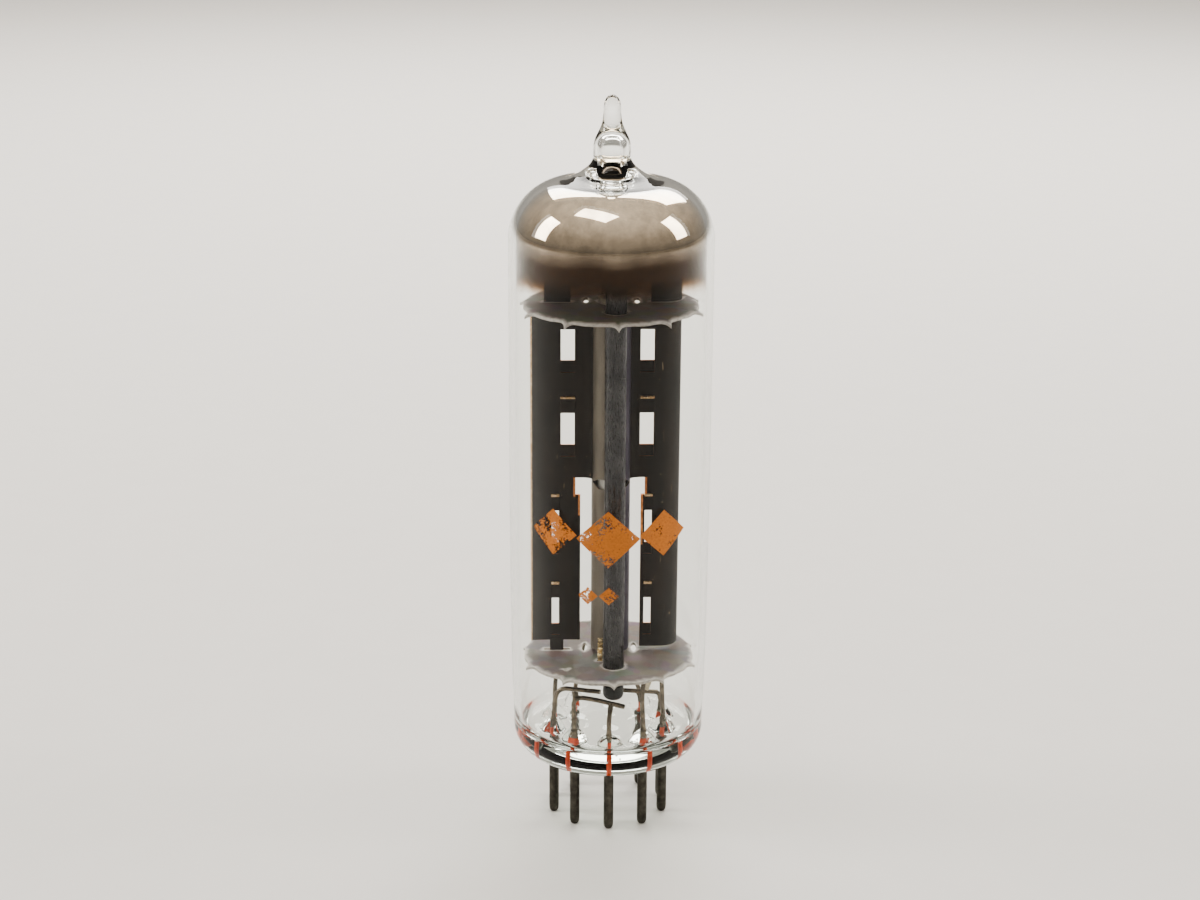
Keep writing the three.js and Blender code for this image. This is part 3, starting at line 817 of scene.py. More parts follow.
class TUBE_OT_make_mark(bpy.types.Operator):
    """Make the worn printed mark: three lozenges over two small ones"""

    bl_idname = "vacuum_tube.make_mark"
    bl_label = "Printed mark"

    def execute(self, context):
        settings = context.scene.tube_mark
        z = settings.height / MM
        patches = [lozenge(x, z + up, half, half * 0.92) for x, up, half in (
            (-0.1, 0, 3.2), (-5.85, 0.3, 2.6), (5.65, 0.3, 2.6),
            (-2.1, -5.9, 1.0), (0.0, -5.9, 1.0),
        )]
        make_piece("printed_mark", joined(*patches), [worn_ink(settings)], sharp=60)
        return {"FINISHED"}


# ---------------------------------------------------------------- pins and leads
PIN_PROFILE = [
    (0, 0), (0.20, 0.005), (0.33, 0.05), (0.43, 0.17), (0.49, 0.38), (1, 0.75), (1, 2.0),
    (1, 3.6), (1, 5.2), (1, 6.6), (0.45, 6.85), (0, 6.9),
]
LEAD_CORNERS = [
    [(-3.4, 4.5, 12.6), (-2.6, 3.6, 17.15)],
    [(-5.65, 1.7, 12.8), (-5.4, 0.6, 15.4), (-5.4, 0.6, 17.15)],
    [(-5.3, -1.96, 14.1), (-0.8, -3.5, 14.3)],
    [(-3.5, -4.88, 14.35), (-1.3, -4.7, 13.95), (1.66, -4.3, 13.0)],
    [(0.1, -5.85, 12), (0.3, -5.15, 13.75)],
    [(3.4, -4.74, 14.4), (3.75, -4.5, 17.15)],
    [(5.6, -1.72, 12.7), (5.45, -1.6, 17.15)],
    [(5.4, 2, 12), (1.1, 0.34, 12.9), (0.9, 0.34, 14.3)],
    [(3, 4.5, 12.2), (-0.5, 1.4, 13), (-0.65, 0.34, 14.3)],
]


class TUBE_OT_make_pins(bpy.types.Operator):
    """Make the nine base pins and the oxide-coated wires sealed in the glass above them"""

    bl_idname = "vacuum_tube.make_pins"
    bl_label = "Pins and seals"

    def execute(self, context):
        metal = worn_metal(
            "pin_metal", (0.10, 0.094, 0.080), (0.05, 0.047, 0.040), 0.8, (0.28, 0.5),
            grain=(1, 1, 0.08), depth=0.006,
        )
        profile = np.array([(PIN_R if r == 1 else r, z) for r, z in PIN_PROFILE])
        seal = [(0, 6.7), (0.20, 6.72), (0.22, 7.6), (0.22, 9.2), (0.20, 9.75), (0, 9.8)]
        for i, place in enumerate(PIN_PLACES, 1):
            make_piece(
                f"pin_{i}", turned(profile, 32, place), [metal], nodes=(f"base_pin_{i}",),
            )
        seals = joined(*(turned(seal, 20, place) for place in PIN_PLACES))
        make_piece("seal_wires", seals, [seal_oxide()])
        return {"FINISHED"}


class TUBE_OT_make_leads(bpy.types.Operator):
    """Make the nine inner leads, each swollen a little where it was welded"""

    bl_idname = "vacuum_tube.make_leads"
    bl_label = "Inner leads"

    def execute(self, context):
        metal = worn_metal(
            "lead_wire", (0.26, 0.22, 0.17), (0.07, 0.058, 0.046), 0.5, (0.10, 0.28), depth=0.002
        )
        for i, (place, corners) in enumerate(zip(PIN_PLACES, LEAD_CORNERS), 1):
            start = [(*place, 9.7), (*place, 10.5), (*place, 11.0)]
            path = rounded_path([*start, *corners], 1.3)
            path = curve_through(path, 3)
            far = np.concatenate([[0], np.cumsum(np.linalg.norm(np.diff(path, axis=0), axis=1))])
            weld = 1 + 0.3 * np.exp(-(((far - 0.9) / 0.28) ** 2))
            end = 1 + 0.18 * np.exp(-(((far[-1] - far - 0.5) / 0.35) ** 2))
            radius = 0.24 * weld * end
            make_piece(
                f"lead_{i}", along(path, radius, radius, 18), [metal],
                nodes=(f"inner_lead_{i}",),
            )
        return {"FINISHED"}


# ---------------------------------------------------------------- mica spacers
def mica_outline(turn, spike):
    """A disc whose edge, between eleven pointed spikes, follows small flats: the radius rises
    to each spike as a steep cusp."""
    pitch = TURN / MICA_SPIKES
    a = np.linspace(-0.5, 0.5, 31)
    a = np.sign(a) * np.abs(a) ** 1.6 / 0.5**0.6
    near = np.abs(a) * pitch
    cusp = np.exp(-(near / 0.034) ** 1.15)
    radius = MICA_R + 0.05 * np.cos(TURN * (a + 0.5)) + (spike - MICA_R) * cusp
    middle = turn - math.pi / 2 + pitch * np.arange(MICA_SPIKES)
    angle = (middle[:, None] + a[:-1] * pitch).ravel()
    r = np.tile(radius[:-1], MICA_SPIKES) + 0.03 * np.sin(7.3 * angle) * np.sin(23 * angle + 1)
    return np.stack([r * np.cos(angle), r * np.sin(angle)], -1)


def ring_of(x, y, half_x, half_y, steps=40):
    a = np.arange(steps) * TURN / steps
    return np.stack([x + half_x * np.cos(a), y + half_y * np.sin(a)], -1)


def box_of(x0, y0, x1, y1, caged=False):
    c = np.array([(x0, y0), (x1, y0), (x1, y1), (x0, y1)], float)
    c = np.vstack([np.linspace(p, q, 6, endpoint=False) for p, q in zip(c, np.roll(c, -1, axis=0))])
    return in_cage(np.column_stack([c, 0 * c[:, 0]]))[:, :2] if caged else c


def curled_slot(start, half):
    """The outline of the slot that takes the right fin's ear: straight, then round the curl."""
    sweep = CURL_SWEEP + 0.1 / CURL_R
    near = np.stack([np.linspace(start, CURL_X, 6, endpoint=False), np.full(6, -half)], -1)
    outer = arc(CURL_X, CURL_R, CURL_R + half, -math.pi / 2, sweep - math.pi / 2, 12)
    inner = arc(CURL_X, CURL_R, CURL_R - half, sweep - math.pi / 2, -math.pi / 2, 10)
    line = np.vstack([near, outer, inner, near[::-1] * (1, -1)])
    return in_cage(np.column_stack([line, 0 * line[:, 0]]))[:, :2]


def mica_plate(outline, holes, low, thick):
    """A flat plate with holes: triangles over its outline, its holes' outlines and a lattice of
    inner points, at a height that waves a little and droops past the rim as the square of the
    way out, more at the front. Also returns how near each point is to the rim or to a hole."""
    edges = [outline, *holes]
    grid = np.stack(np.meshgrid(np.arange(-9, 9, 0.42), np.arange(-9, 9, 0.42)), -1).reshape(-1, 2)
    grid[:, 0] += 0.21 * (np.round(grid[:, 1] / 0.42) % 2)
    rim_points = np.vstack(edges)
    away = np.linalg.norm(grid[:, None] - rim_points[None], axis=2).min(1)
    grid = grid[(away > 0.22) & inside(grid, outline)]
    flat = np.vstack([rim_points, grid])
    links, base = [], 0
    for edge in edges:
        n = np.arange(len(edge))
        links.append(np.stack([n, (n + 1) % len(edge)], -1) + base)
        base += len(edge)
    made = delaunay_2d_cdt(
        [Vector(p) for p in flat.tolist()], np.vstack(links).tolist(), [], 0, 1e-6
    )
    flat = np.array([tuple(v) for v in made[0]])
    tris = np.array(made[2])
    mid = flat[tris].mean(1)
    keep = inside(mid, outline)
    for hole in holes:
        keep &= ~inside(mid, hole)
    tris = tris[keep]
    p = flat[tris]
    area = np.cross(p[:, 1] - p[:, 0], p[:, 2] - p[:, 0])
    tris = np.where((area < 0)[:, None], tris[:, ::-1], tris)
    n = len(flat)
    ways = np.vstack([tris[:, [0, 1]], tris[:, [1, 2]], tris[:, [2, 0]]])
    border = ways[~np.isin(ways[:, 0] * n + ways[:, 1], ways[:, 1] * n + ways[:, 0])]
    away = np.linalg.norm(flat[:, None] - rim_points[None], axis=2).min(1)
    r = np.maximum(np.hypot(flat[:, 0], flat[:, 1]), 0.01)
    front = np.clip(-flat[:, 1] / r, 0, 1)
    droop = (0.3 + 0.4 * front) * np.clip((r - 8.2) / 1.15, 0, 1) ** 2
    wave = 0.03 * np.sin(0.9 * flat[:, 0] + 0.4) * np.sin(0.7 * flat[:, 1])
    top = np.column_stack([flat, low + thick + wave - droop])
    under = np.column_stack([flat, low + wave - droop])
    a, b = border.T
    walls = np.stack([a + n, b + n, b, a], -1)
    faces = np.vstack([
        np.column_stack([tris, tris[:, 2]]),
        np.column_stack([tris[:, ::-1], tris[:, 0]]) + n,
        walls,
    ])
    rim = np.exp(-((away / 0.16) ** 2))
    return np.vstack([top, under]), faces, np.tile(rim, 2)


class TUBE_OT_make_micas(bpy.types.Operator):
    """Make the two mica spacers with their spikes, slots and holes"""

    bl_idname = "vacuum_tube.make_micas"
    bl_label = "Mica spacers"

    def execute(self, context):
        look = mica_sheet(context.scene.tube_cage)
        post = ring_of(POST[0], POST[1], 1.12, 1.12)
        sleeve = ring_of(CAGE[0], CAGE[1], 1.42, 1.42, 48)
        ovals = [ring_of(x, 0.8, 0.28, 1.2, 28) for x in (-2.5, 2.62)]
        lower = [
            post, sleeve, *ovals, box_of(-6.85, -0.24, -4.15, 0.24, caged=True),
            box_of(-1.2, -3.2, -0.5, -2.9),
            np.array([(-4.6, -5.35), (-3.9, -5.35), (-4.25, -5.75)]),
        ]
        upper = [
            post, sleeve, *ovals, box_of(-6.9, -0.24, -4.07, 0.24, caged=True),
            curled_slot(EAR_X - 0.1, 0.24), box_of(-1.05, 2.44, -0.35, 2.76),
        ]
        for name, turn, spike, holes in (
            ("lower_mica", 3.7, 9.22, lower), ("upper_mica", 4.8, 9.36, upper),
        ):
            low, high = corners_of(name)
            points, faces, rim = mica_plate(
                mica_outline(math.radians(turn), spike), holes, low[2], high[2] - low[2]
            )
            piece = make_piece(
                name + "_spacer", (points, faces), [look], nodes=(name,), sharp=50,
                rim=rim,
            )
            rounded = piece.modifiers.new("rounded_rim", "BEVEL")
            rounded.width = 0.00006
            rounded.segments = 2
            rounded.limit_method = "ANGLE"
            rounded.angle_limit = math.radians(55)
        return {"FINISHED"}


# ---------------------------------------------------------------- plate
WINDOWS = {
    "left": [(-4.42, 0.71, 47.4, 53.4), (-4.42, 0.71, 38.6, 44.75), (-5.67, 0.38, 28.1, 34.4),
             (-5.67, 0.38, 19.2, 24.9)],
    "right": [(3.6, 0.71, 47.4, 53.4), (3.6, 0.71, 38.6, 44.75), (3.85, 0.38, 28.1, 34.4),
              (3.85, 0.38, 19.2, 24.9)],
}


def fin_layer(stops_x, stops_z, empty, bare, place, front, back):
    """One sheet of a fin: cells between the given lines, left out inside the empty boxes, and
    bent into place. Also returns each face's material: 1 on cut edges and inside the bare
    boxes, else 0."""
    x, z = spaced(stops_x, 0.5), spaced(stops_z, 1.5)
    mx, mz = (x[1:] + x[:-1]) / 2, (z[1:] + z[:-1]) / 2

    def cells_in(boxes):
        hit = np.zeros((len(mx), len(mz)), bool)
        for x0, x1, z0, z1 in boxes:
            hit |= ((mx > x0) & (mx < x1))[:, None] & ((mz > z0) & (mz < z1))[None, :]
        return hit

    filled = ~cells_in(empty)
    gx, gz = np.meshgrid(x, z, indexing="ij")
    points, faces, walls = pierced(place(gx, front, gz), place(gx, back, gz), filled)
    i, j = np.nonzero(filled)
    shown = cells_in(bare)[i, j]
    looks = np.where(walls, 1, 0)
    looks[: len(i)] = shown
    return points, faces, looks


def root_flare(x, y):
    """How far each sheet of a fin leaves the middle plane as it nears the column: the square
    of the way from 0.9 mm out to the column's side, forwards in front and backwards behind."""
    near = np.clip((2.8 - np.abs(x)) / 0.9, 0, 1)
    return np.sign(y) * 0.42 * near**2


def fold_over(x, half, top, place):
    """The tongue folded over the top of a window: a ribbon carried forward over the edge and
    down the front. Its bend is painted bright gold as a painted highlight."""
    line = rounded_path([
        (0.10, top - 0.10), (0.02, top + 0.15), (-0.36, top + 0.12), (-0.40, top - 0.45),
        (-0.30, top - 1.5),
    ], 0.16, 5)
    path = np.stack([np.full(len(line), x), line[:, 0], line[:, 1]], -1)
    points, faces = along(path, half, 0.065, 20, corner=6, facing=(1, 0, 0))
    # the faces at the top of the bend take the painted highlight material
    bright = points[faces][:, :, 2].mean(1) > top - 0.02
    return place(points[:, 0], points[:, 1], points[:, 2]), faces, np.where(bright, 2, 0)


def build_fin(name, node, windows, outline_x, empty, bare, place, looks, extra=()):
    """Both sheets of a fin with the folded tongues and any further parts, as one piece. The
    back sheet's windows stop higher, so a dark step shows over each lower edge."""
    stops_x = set(outline_x)
    stops_z = set()
    for x0, x1, z0, z1 in [*empty, *bare]:
        stops_x |= {x0, x1}
        stops_z |= {z0, z1}
    front_holes = [(x - h, x + h, low, top) for x, h, low, top in windows]
    back_holes = [(x - h, x + h, low + 1.2, top) for x, h, low, top in windows]
    for x0, x1, z0, z1 in front_holes + back_holes:
        stops_x |= {x0, x1}
        stops_z |= {z0, z1}
    keep_x = [x for x in stops_x if outline_x[0] <= x <= outline_x[1]]
    layers = [
        fin_layer(keep_x, stops_z, empty + front_holes, bare, place, -FIN_HALF, -0.01),
        fin_layer(keep_x, stops_z, empty + back_holes, [], place, 0.01, FIN_HALF),
        *(fold_over(x, h + 0.04, top, place) for x, h, _, top in windows), *extra,
    ]
    surface = joined(*((points.reshape(-1, 3), faces) for points, faces, _ in layers))
    make_piece(
        name, surface, looks, np.concatenate([part for _, _, part in layers]), nodes=(node,),
    )


class TUBE_OT_make_fins(bpy.types.Operator):
    """Make the two blackened plate fins, with windows, folded tongues and bare cut edges"""

    bl_idname = "vacuum_tube.make_fins"
    bl_label = "Plate fins"

    def execute(self, context):
        settings = context.scene.tube_cage
        band = settings.bare_band / MM
        copper = tuple(settings.copper)
        looks = [
            carbonised_sheet(settings),
            worn_metal("cut_edge", copper, tuple(0.45 * c for c in copper), 0.35, (0.3, 0.5)),
            # painted highlight: bright gold for the tongues' bends and the left hem, where they
            # catch the light
            worn_metal("painted_highlight_bend", (0.95, 0.74, 0.48), (0.70, 0.42, 0.22), 0.3, (0.2, 0.35)),
        ]
        top = PLATE_TOP

        def flat(x, y, z):
            bow = 0.05 * np.sin(0.11 * z + 0.6) + 0.03 * np.sin(0.9 * x) + root_flare(x, y)
            return in_cage(np.stack([x + 0 * z, y + bow + 0 * x, z + 0 * x], -1))

        low, high = corners_of("left_plate_fin")
        foot = 18.65
        empty = [
            (-8.2, -6.8, top, high[2]), (-4.17, -1.9, top, high[2]), (-8.2, -6.22, low[2], foot),
            (-4.82, -1.9, low[2], foot), (-3.62, -1.9, NOTCH_STEP, NOTCH_TOP),
            (-3.12, -1.9, foot, NOTCH_STEP),
        ]
        bare = [
            (-3.62 - band, -3.62, NOTCH_STEP - band, NOTCH_TOP),
            (-3.12 - band, -3.12, 32.3, NOTCH_STEP),
        ]
        # the hem down the left edge is all painted highlight: a bright gold line where the edge
        # catches the light
        z = np.linspace(foot, top, 30)
        hem_points, hem_faces = along(
            np.stack([np.full(30, -8.13), np.full(30, -0.2), z], -1), 0.10, 0.07, 12, corner=3,
            facing=(1, 0, 0),
        )
        hem = flat(*hem_points.T), hem_faces, np.full(len(hem_faces), 2)
        build_fin(
            "left_fin", "left_plate_fin", WINDOWS["left"], (-8.2, -1.9), empty, bare, flat, looks,
            [hem],
        )

        low, high = corners_of("right_plate_fin")
        end = CURL_X + CURL_R * CURL_SWEEP

        def curled(x, y, z):
            """Flat up to the bend, then round the arc of the curl, backwards."""
            a = np.maximum(x - CURL_X, 0) / CURL_R
            bow = 0.04 * np.sin(0.1 * z + 2.0) + root_flare(x, y)
            px = np.minimum(x, CURL_X) + (CURL_R - y) * np.sin(a)
            py = CURL_R - (CURL_R - y) * np.cos(a)
            return in_cage(np.stack([px + 0 * z, py + bow + 0 * x, z + 0 * x], -1))

        empty = [
            (1.9, EAR_X, top, high[2]), (1.9, 3.48, NOTCH_STEP, NOTCH_TOP),
            (1.9, 3.08, low[2], NOTCH_STEP),
        ]
        bare = [
            (3.48, 3.48 + band, NOTCH_STEP - band, NOTCH_TOP),
            (3.08, 3.08 + band, 29.1, NOTCH_STEP),
        ]
        build_fin(
            "right_fin", "right_plate_fin", WINDOWS["right"], (1.9, end), empty, bare, curled,
            looks,
        )
        return {"FINISHED"}


class TUBE_OT_make_column(bpy.types.Operator):
    """Make the plate's round column, with the pointed slot across its front"""

    bl_idname = "vacuum_tube.make_column"
    bl_label = "Plate column"

    def execute(self, context):
        low, high = corners_of("plate_column")
        slot_z, half = COLUMN_SLOT_Z, COLUMN_SLOT_HALF
        a = np.linspace(-math.pi, math.pi, 97)
        x = COLUMN_R * np.sin(a)
        in_front = np.cos(a) > 0.001
        taper = (COLUMN_R - np.abs(x)) / (COLUMN_R - COLUMN_SLOT_FLAT)
        open_ = np.where(in_front, half * np.clip(taper, 0, 1), 0)
        t = np.linspace(0, 1, 14)
        z = np.hstack([
            low[2] + (slot_z - open_ - low[2])[:, None] * t,
            (slot_z + open_)[:, None] + (high[2] - slot_z - open_)[:, None] * t,
        ])
        filled = np.ones((96, 27), bool)
        wide = (open_[1:] + open_[:-1]) > 1e-6
        filled[:, 13] = ~wide

        def ring(r):
            return in_cage(np.stack([
                r * np.sin(a)[:, None] + 0 * z, -r * np.cos(a)[:, None] + 0 * z, z,
            ], -1))

        points, faces, walls = pierced(
            ring(COLUMN_R), ring(COLUMN_R - COLUMN_WALL), filled, wrap=True
        )
        edge = worn_metal("column_edge", (0.34, 0.30, 0.26), (0.16, 0.13, 0.11), 0.4)
        make_piece(
            "column", (points, faces), [column_metal(), edge], walls.astype(int),
            nodes=("plate_column",),
        )
        return {"FINISHED"}


# ---------------------------------------------------------------- cathode, heaters and post
def pipe(outer, bore, low, high, centre, sides=64, soften=0.04):
    """A hollow tube whose ends are softened: a closed loop of radius and height, turned."""
    loop = [
        (outer, low + soften), *zip([outer] * 10, np.linspace(low + 1, high - 1, 10)),
        (outer, high - soften), (outer - soften, high), (bore + soften, high),
        (bore, high - soften), (bore, low + soften), (bore + soften, low), (outer - soften, low),
        (outer, low + soften),
    ]
    return turned(loop, sides, centre)


def folded(runs, spacing, low, high, feet):
    """The corners of a wire folded into runs side by side, with both its feet below."""
    corners = []
    for i in range(runs):
        x = (i - (runs - 1) / 2) * spacing
        bottom = feet if i in (0, runs - 1) else low
        pair = [(x, 0, bottom), (x, 0, high)]
        corners += pair[::-1] if i % 2 else pair
    return np.array(corners, float)


class TUBE_OT_make_cathode(bpy.types.Operator):
    """Make the coated cathode sleeve and both heaters"""

    bl_idname = "vacuum_tube.make_cathode"
    bl_label = "Cathode and heaters"

    def execute(self, context):
        low, high = corners_of("cathode_sleeve")
        bare = worn_metal("sleeve_nickel", (0.62, 0.58, 0.50), (0.35, 0.32, 0.28), 0.5)
        white = rough_coating("cathode_coating", (0.90, 0.89, 0.85), (0.76, 0.74, 0.70), 0.12)
        points, faces = pipe(CATHODE_R, CATHODE_BORE, low[2], high[2], CAGE[:2])
        z = points[faces][:, :, 2].mean(1)
        coated = (z > low[2] + 1.2) & (z < high[2] - 1.2)
        make_piece(
            "cathode", (points, faces), [bare, white], coated.astype(int),
            nodes=("cathode_sleeve",),
        )
        coat = rough_coating("heater_coating", (0.84, 0.84, 0.81), (0.62, 0.61, 0.58), 0.1)
        line = in_cage(rounded_path(folded(4, 0.52, 19, 53, 14.6), 0.26))
        make_piece(
            "cathode_heater", along(line, 0.16, 0.16, 12), [coat], nodes=("heater",),
        )
        line = rounded_path(folded(2, 0.7, 19, 53, 15.7), 0.35) + (POST[0], POST[1], 0)
        make_piece(
            "post_heater_wire", along(line, 0.2, 0.2, 12), [coat], nodes=("post_heater",),
        )
        return {"FINISHED"}


class TUBE_OT_make_post(bpy.types.Operator):
    """Make the slim post in front and its rounded black end"""

    bl_idname = "vacuum_tube.make_post"
    bl_label = "Front post"

    def execute(self, context):
        low, high = corners_of("front_post")
        grey = worn_metal(
            "post_metal", (0.075, 0.073, 0.076), (0.050, 0.049, 0.054), 1.2, (0.24, 0.34),
            grain=(1, 1, 0.2), depth=0.0015, metallic=0.85,
        )
        make_piece(
            "post", pipe(POST_R, POST_BORE, low[2], high[2], POST[:2]), [grey],
            nodes=("front_post",),
        )
        black = worn_metal(
            "end_black", (0.022, 0.022, 0.024), (0.010, 0.010, 0.011), 0.5, (0.3, 0.5),
            metallic=0.3,
        )
        low, high = corners_of("post_end_cap")
        curve = arc(0.42, low[2] + 0.62, 0.62, -math.pi / 2, 0, 12)
        profile = [(0, low[2]), *curve, (POST_R, high[2] - 0.04), (1.0, high[2]), (0, high[2])]
        make_piece(
            "post_end", turned(profile, 48, POST[:2]), [black], nodes=("post_end_cap",),
        )
        return {"FINISHED"}


class TUBE_OT_make_ribbons(bpy.types.Operator):
    """Make the welded strap beside the post and the cathode's ribbon"""

    bl_idname = "vacuum_tube.make_ribbons"
    bl_label = "Strap and ribbon"

    def execute(self, context):
        gold = worn_metal(
            "bright_nickel", (0.93, 0.76, 0.46), (0.58, 0.44, 0.25), 0.4, (0.15, 0.35)
        )
        line = curve_through(rounded_path([
            (-0.85, -1.85, 19.6), (-0.85, -1.85, 18.4), (-0.85, -3.05, 18.2), (-0.85, -3.05, 16.5),
        ], 0.3), 4)
        strap = along(line, 0.25, 0.05, 20, corner=5, facing=(1, 0, 0))
        dome = np.stack([np.cos(t := np.linspace(0, math.pi / 2, 6)), np.sin(t)], -1)
        welds = []
        for x, z in ((-1.0, 18.95), (-0.68, 18.95), (-0.85, 19.35)):
            ball, faces = turned([(0, -0.5), *(dome * (0.11, 1)), (0, 1)], 14)
            points = np.stack([x + ball[:, 0], -1.9 - 0.09 * ball[:, 2], z + ball[:, 1]], -1)
            welds.append((points, faces))
        make_piece(
            "strap", joined(strap, *welds), [gold], nodes=("post_strap",)
        )
        line = curve_through([
            (3.9, 1.2, 12.6), (4.35, 1.25, 13.9), (4.75, 1.3, 15.6), (4.9, 1.3, 17.15),
        ], 8)
        make_piece(
            "ribbon", along(line, 0.375, 0.06, 20, corner=5, facing=(1, 0, -0.3)),
            [worn_metal("ribbon_metal", (0.78, 0.70, 0.55), (0.55, 0.48, 0.38), 0.5, (0.3, 0.5))],
            nodes=("cathode_ribbon",),
        )
        return {"FINISHED"}


class TUBE_OT_make_getter(bpy.types.Operator):
    """Make the getter ring behind the mirror film and its support"""

    bl_idname = "vacuum_tube.make_getter"
    bl_label = "Getter"

    def execute(self, context):
        low, high = corners_of("getter_ring")
        centre = (low + high) / 2
        r, z = (high[0] - low[0]) / 2 - 0.4, low[2]
        nickel = worn_metal(
            "getter_nickel", (0.50, 0.45, 0.38), (0.24, 0.20, 0.17), 0.4, (0.3, 0.5)
        )
        channel = [
            (r - 0.34, z), (r + 0.34, z), (r + 0.4, z + 0.06), (r + 0.4, z + 0.5),
            (r + 0.28, z + 0.5), (r + 0.26, z + 0.18), (r - 0.26, z + 0.18), (r - 0.28, z + 0.5),
            (r - 0.4, z + 0.5), (r - 0.4, z + 0.06), (r - 0.34, z),
        ]
        make_piece(
            "getter_channel", turned(channel, 72, centre[:2]), [nickel], nodes=("getter_ring",),
        )
        line = rounded_path([(-0.7, 2.6, 53.3), (-0.7, 2.6, 60.4), (-0.7, 1.7, 60.5)], 0.4)
        make_piece(
            "getter_stay", along(line, 0.25, 0.06, 16, corner=4, facing=(1, 0, 0)), [nickel],
            nodes=("getter_support",),
        )
        return {"FINISHED"}


# ---------------------------------------------------------------- stage
CAMERA_PLACE = np.array([0.0, -0.22118, 0.10694])
CAMERA_PITCH, CAMERA_YAW, CAMERA_ROLL = (math.radians(a) for a in (17.026, -0.260, 0.351))
LAMPS = [  # name, place, aim, width, height, watts
    ("top_lamp", (-0.14, -0.10, 0.70), (0, 0.05, 0.0), 0.40, 0.22, 1.2),
    ("left_lamp", (-0.62, 0.02, 0.34), (0, 0.05, 0.03), 0.22, 0.42, 1.9),
    ("right_lamp", (0.62, 0.02, 0.38), (0, 0.05, 0.03), 0.22, 0.42, 1.6),
    ("back_lamp", (0.04, 0.50, 0.42), (0, 0.34, 0.0), 0.60, 0.34, 3.9),
]


WALL_TONES = [  # brightness of the studio from under the floor to straight overhead
    (0.0, (0.10, 0.095, 0.09)), (0.18, (0.34, 0.32, 0.29)), (0.5, (0.46, 0.42, 0.37)),
    (1.0, (0.80, 0.745, 0.67)),
]


def camera_turn():
    """Right, up and backward directions of the camera, from its pitch, yaw and roll."""
    cp, sp = math.cos(CAMERA_PITCH), math.sin(CAMERA_PITCH)
    cy, sy = math.cos(CAMERA_YAW), math.sin(CAMERA_YAW)
    ahead = np.array([sy * cp, cy * cp, -sp])
    up = np.array([sy * sp, cy * sp, cp])
    right = np.array([cy, -sy, 0.0])
    c, s = math.cos(CAMERA_ROLL), math.sin(CAMERA_ROLL)
    return right * c + up * s, up * c - right * s, -ahead


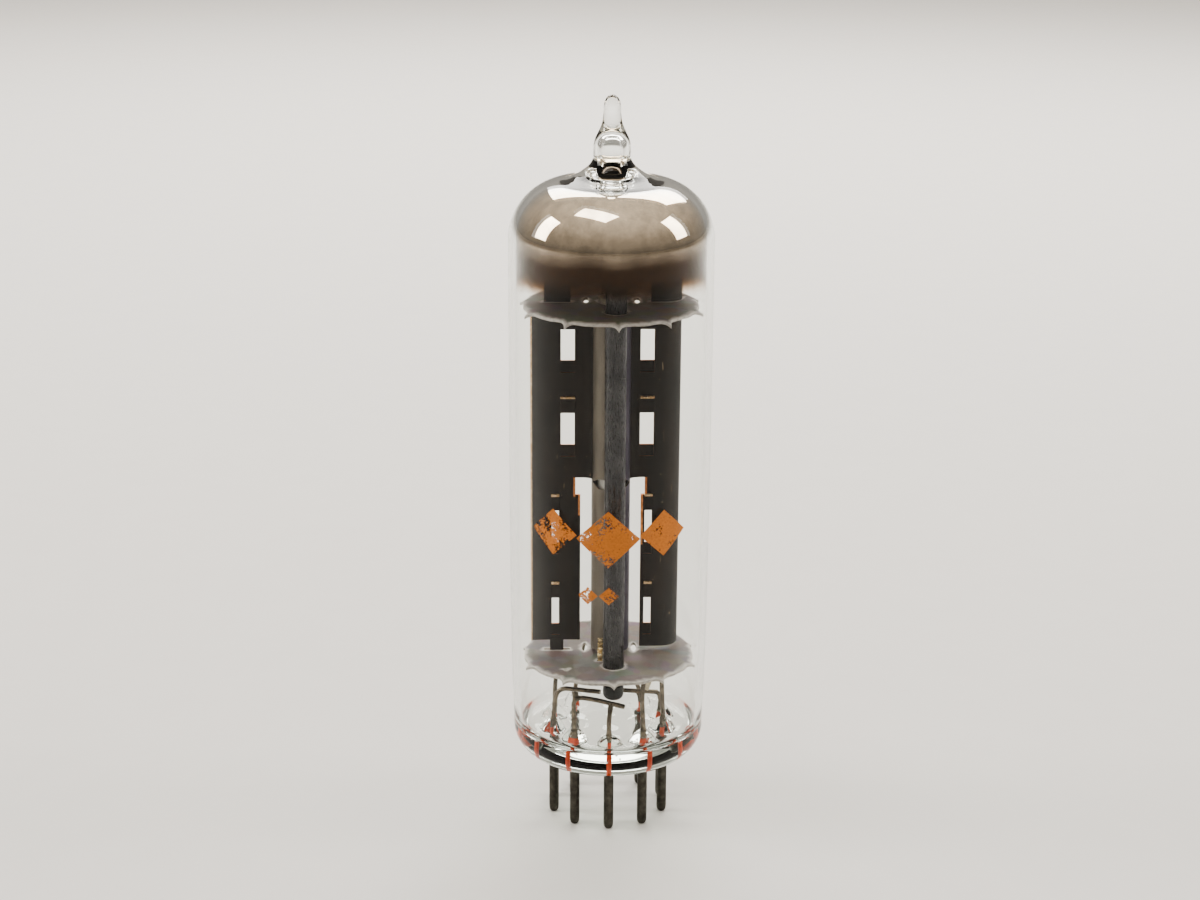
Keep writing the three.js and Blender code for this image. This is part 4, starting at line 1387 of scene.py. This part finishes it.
class TUBE_OT_make_stage(bpy.types.Operator):
    """Make the pale floor, the soft lamps and the camera"""

    bl_idname = "vacuum_tube.make_stage"
    bl_label = "Stage"

    def execute(self, context):
        scene = context.scene
        settings = scene.tube_stage
        for name in ("floor", "view_camera", *(lamp[0] for lamp in LAMPS)):
            if name in bpy.data.objects:
                bpy.data.objects.remove(bpy.data.objects[name])
        line = np.linspace(-4, 4, 9)
        x, y = np.meshgrid(line, line, indexing="ij")
        mesh = bpy.data.meshes.new("floor")
        mesh.from_pydata(
            np.stack([x, y, 0 * x], -1).reshape(-1, 3).tolist(), [], grid_faces(9, 9).tolist()
        )
        mesh.materials.append(pale_floor(settings))
        floor = bpy.data.objects.new("floor", mesh)
        scene.collection.objects.link(floor)

        world = bpy.data.worlds.get("studio") or bpy.data.worlds.new("studio")
        world.use_nodes = True
        tree = world.node_tree
        back = tree.nodes.get("Background")
        up = put(tree, "SeparateXYZ", {0: put(tree, "TexCoord").outputs["Generated"]}).outputs["Z"]
        walls = ramp(tree, span(tree, up, -0.2, 1.0), WALL_TONES)
        tree.links.new(walls, back.inputs["Color"])
        back.inputs["Strength"].default_value = 1.0
        scene.world = world
        scene.view_settings.look = "AgX - Medium High Contrast"

        for name, place, aim, width, height, watts in LAMPS:
            lamp = bpy.data.lights.new(name, "AREA")
            lamp.shape = "RECTANGLE"
            lamp.size, lamp.size_y = width, height
            lamp.energy = watts * settings.power
            lamp.color = (1.0, 0.97, 0.93)
            holder = bpy.data.objects.new(name, lamp)
            holder.location = place
            gaze = Vector(aim) - Vector(place)
            holder.rotation_euler = gaze.to_track_quat("-Z", "Y").to_euler()
            scene.collection.objects.link(holder)

        eye = bpy.data.cameras.new("view_camera")
        eye.sensor_fit = "HORIZONTAL"
        eye.sensor_width = 36.0
        eye.lens = 68.41
        eye.clip_start, eye.clip_end = 0.005, 50.0
        camera = bpy.data.objects.new("view_camera", eye)
        pose = np.eye(4)
        pose[:3, :3] = np.stack(camera_turn(), -1)
        pose[:3, 3] = CAMERA_PLACE
        camera.matrix_world = Matrix(pose.tolist())
        scene.collection.objects.link(camera)
        scene.camera = camera
        return {"FINISHED"}


# ---------------------------------------------------------------- panel and registration
MAKERS = [
    "make_stage", "make_glass", "make_film", "make_mark", "make_pins", "make_leads",
    "make_micas", "make_column", "make_fins", "make_cathode", "make_post", "make_ribbons",
    "make_getter",
]
SETTINGS = {
    "tube_glass": TubeGlassSettings, "tube_film": TubeFilmSettings, "tube_cage": TubeCageSettings,
    "tube_mark": TubeMarkSettings, "tube_stage": TubeStageSettings,
}


class TUBE_PT_panel(bpy.types.Panel):
    """The tube's pieces and settings"""

    bl_idname = "TUBE_PT_panel"
    bl_label = "Vacuum tube"
    bl_space_type = "VIEW_3D"
    bl_region_type = "UI"
    bl_category = "Tube"

    def draw(self, context):
        for name, group in SETTINGS.items():
            box = self.layout.box()
            for field in group.__annotations__:
                box.prop(getattr(context.scene, name), field)
        for maker in MAKERS:
            self.layout.operator("vacuum_tube." + maker)


CLASSES = (
    *SETTINGS.values(), TUBE_OT_make_stage, TUBE_OT_make_glass, TUBE_OT_make_film,
    TUBE_OT_make_mark, TUBE_OT_make_pins, TUBE_OT_make_leads, TUBE_OT_make_micas,
    TUBE_OT_make_column, TUBE_OT_make_fins, TUBE_OT_make_cathode, TUBE_OT_make_post,
    TUBE_OT_make_ribbons, TUBE_OT_make_getter, TUBE_PT_panel,
)


def register():
    for cls in CLASSES:
        bpy.utils.register_class(cls)
    for name, group in SETTINGS.items():
        setattr(bpy.types.Scene, name, PointerProperty(type=group))


def unregister():
    for name in SETTINGS:
        delattr(bpy.types.Scene, name)
    for cls in reversed(CLASSES):
        bpy.utils.unregister_class(cls)


def main():
    register()
    for maker in MAKERS:
        getattr(bpy.ops.vacuum_tube, maker)()


if __name__ == "__main__":
    main()
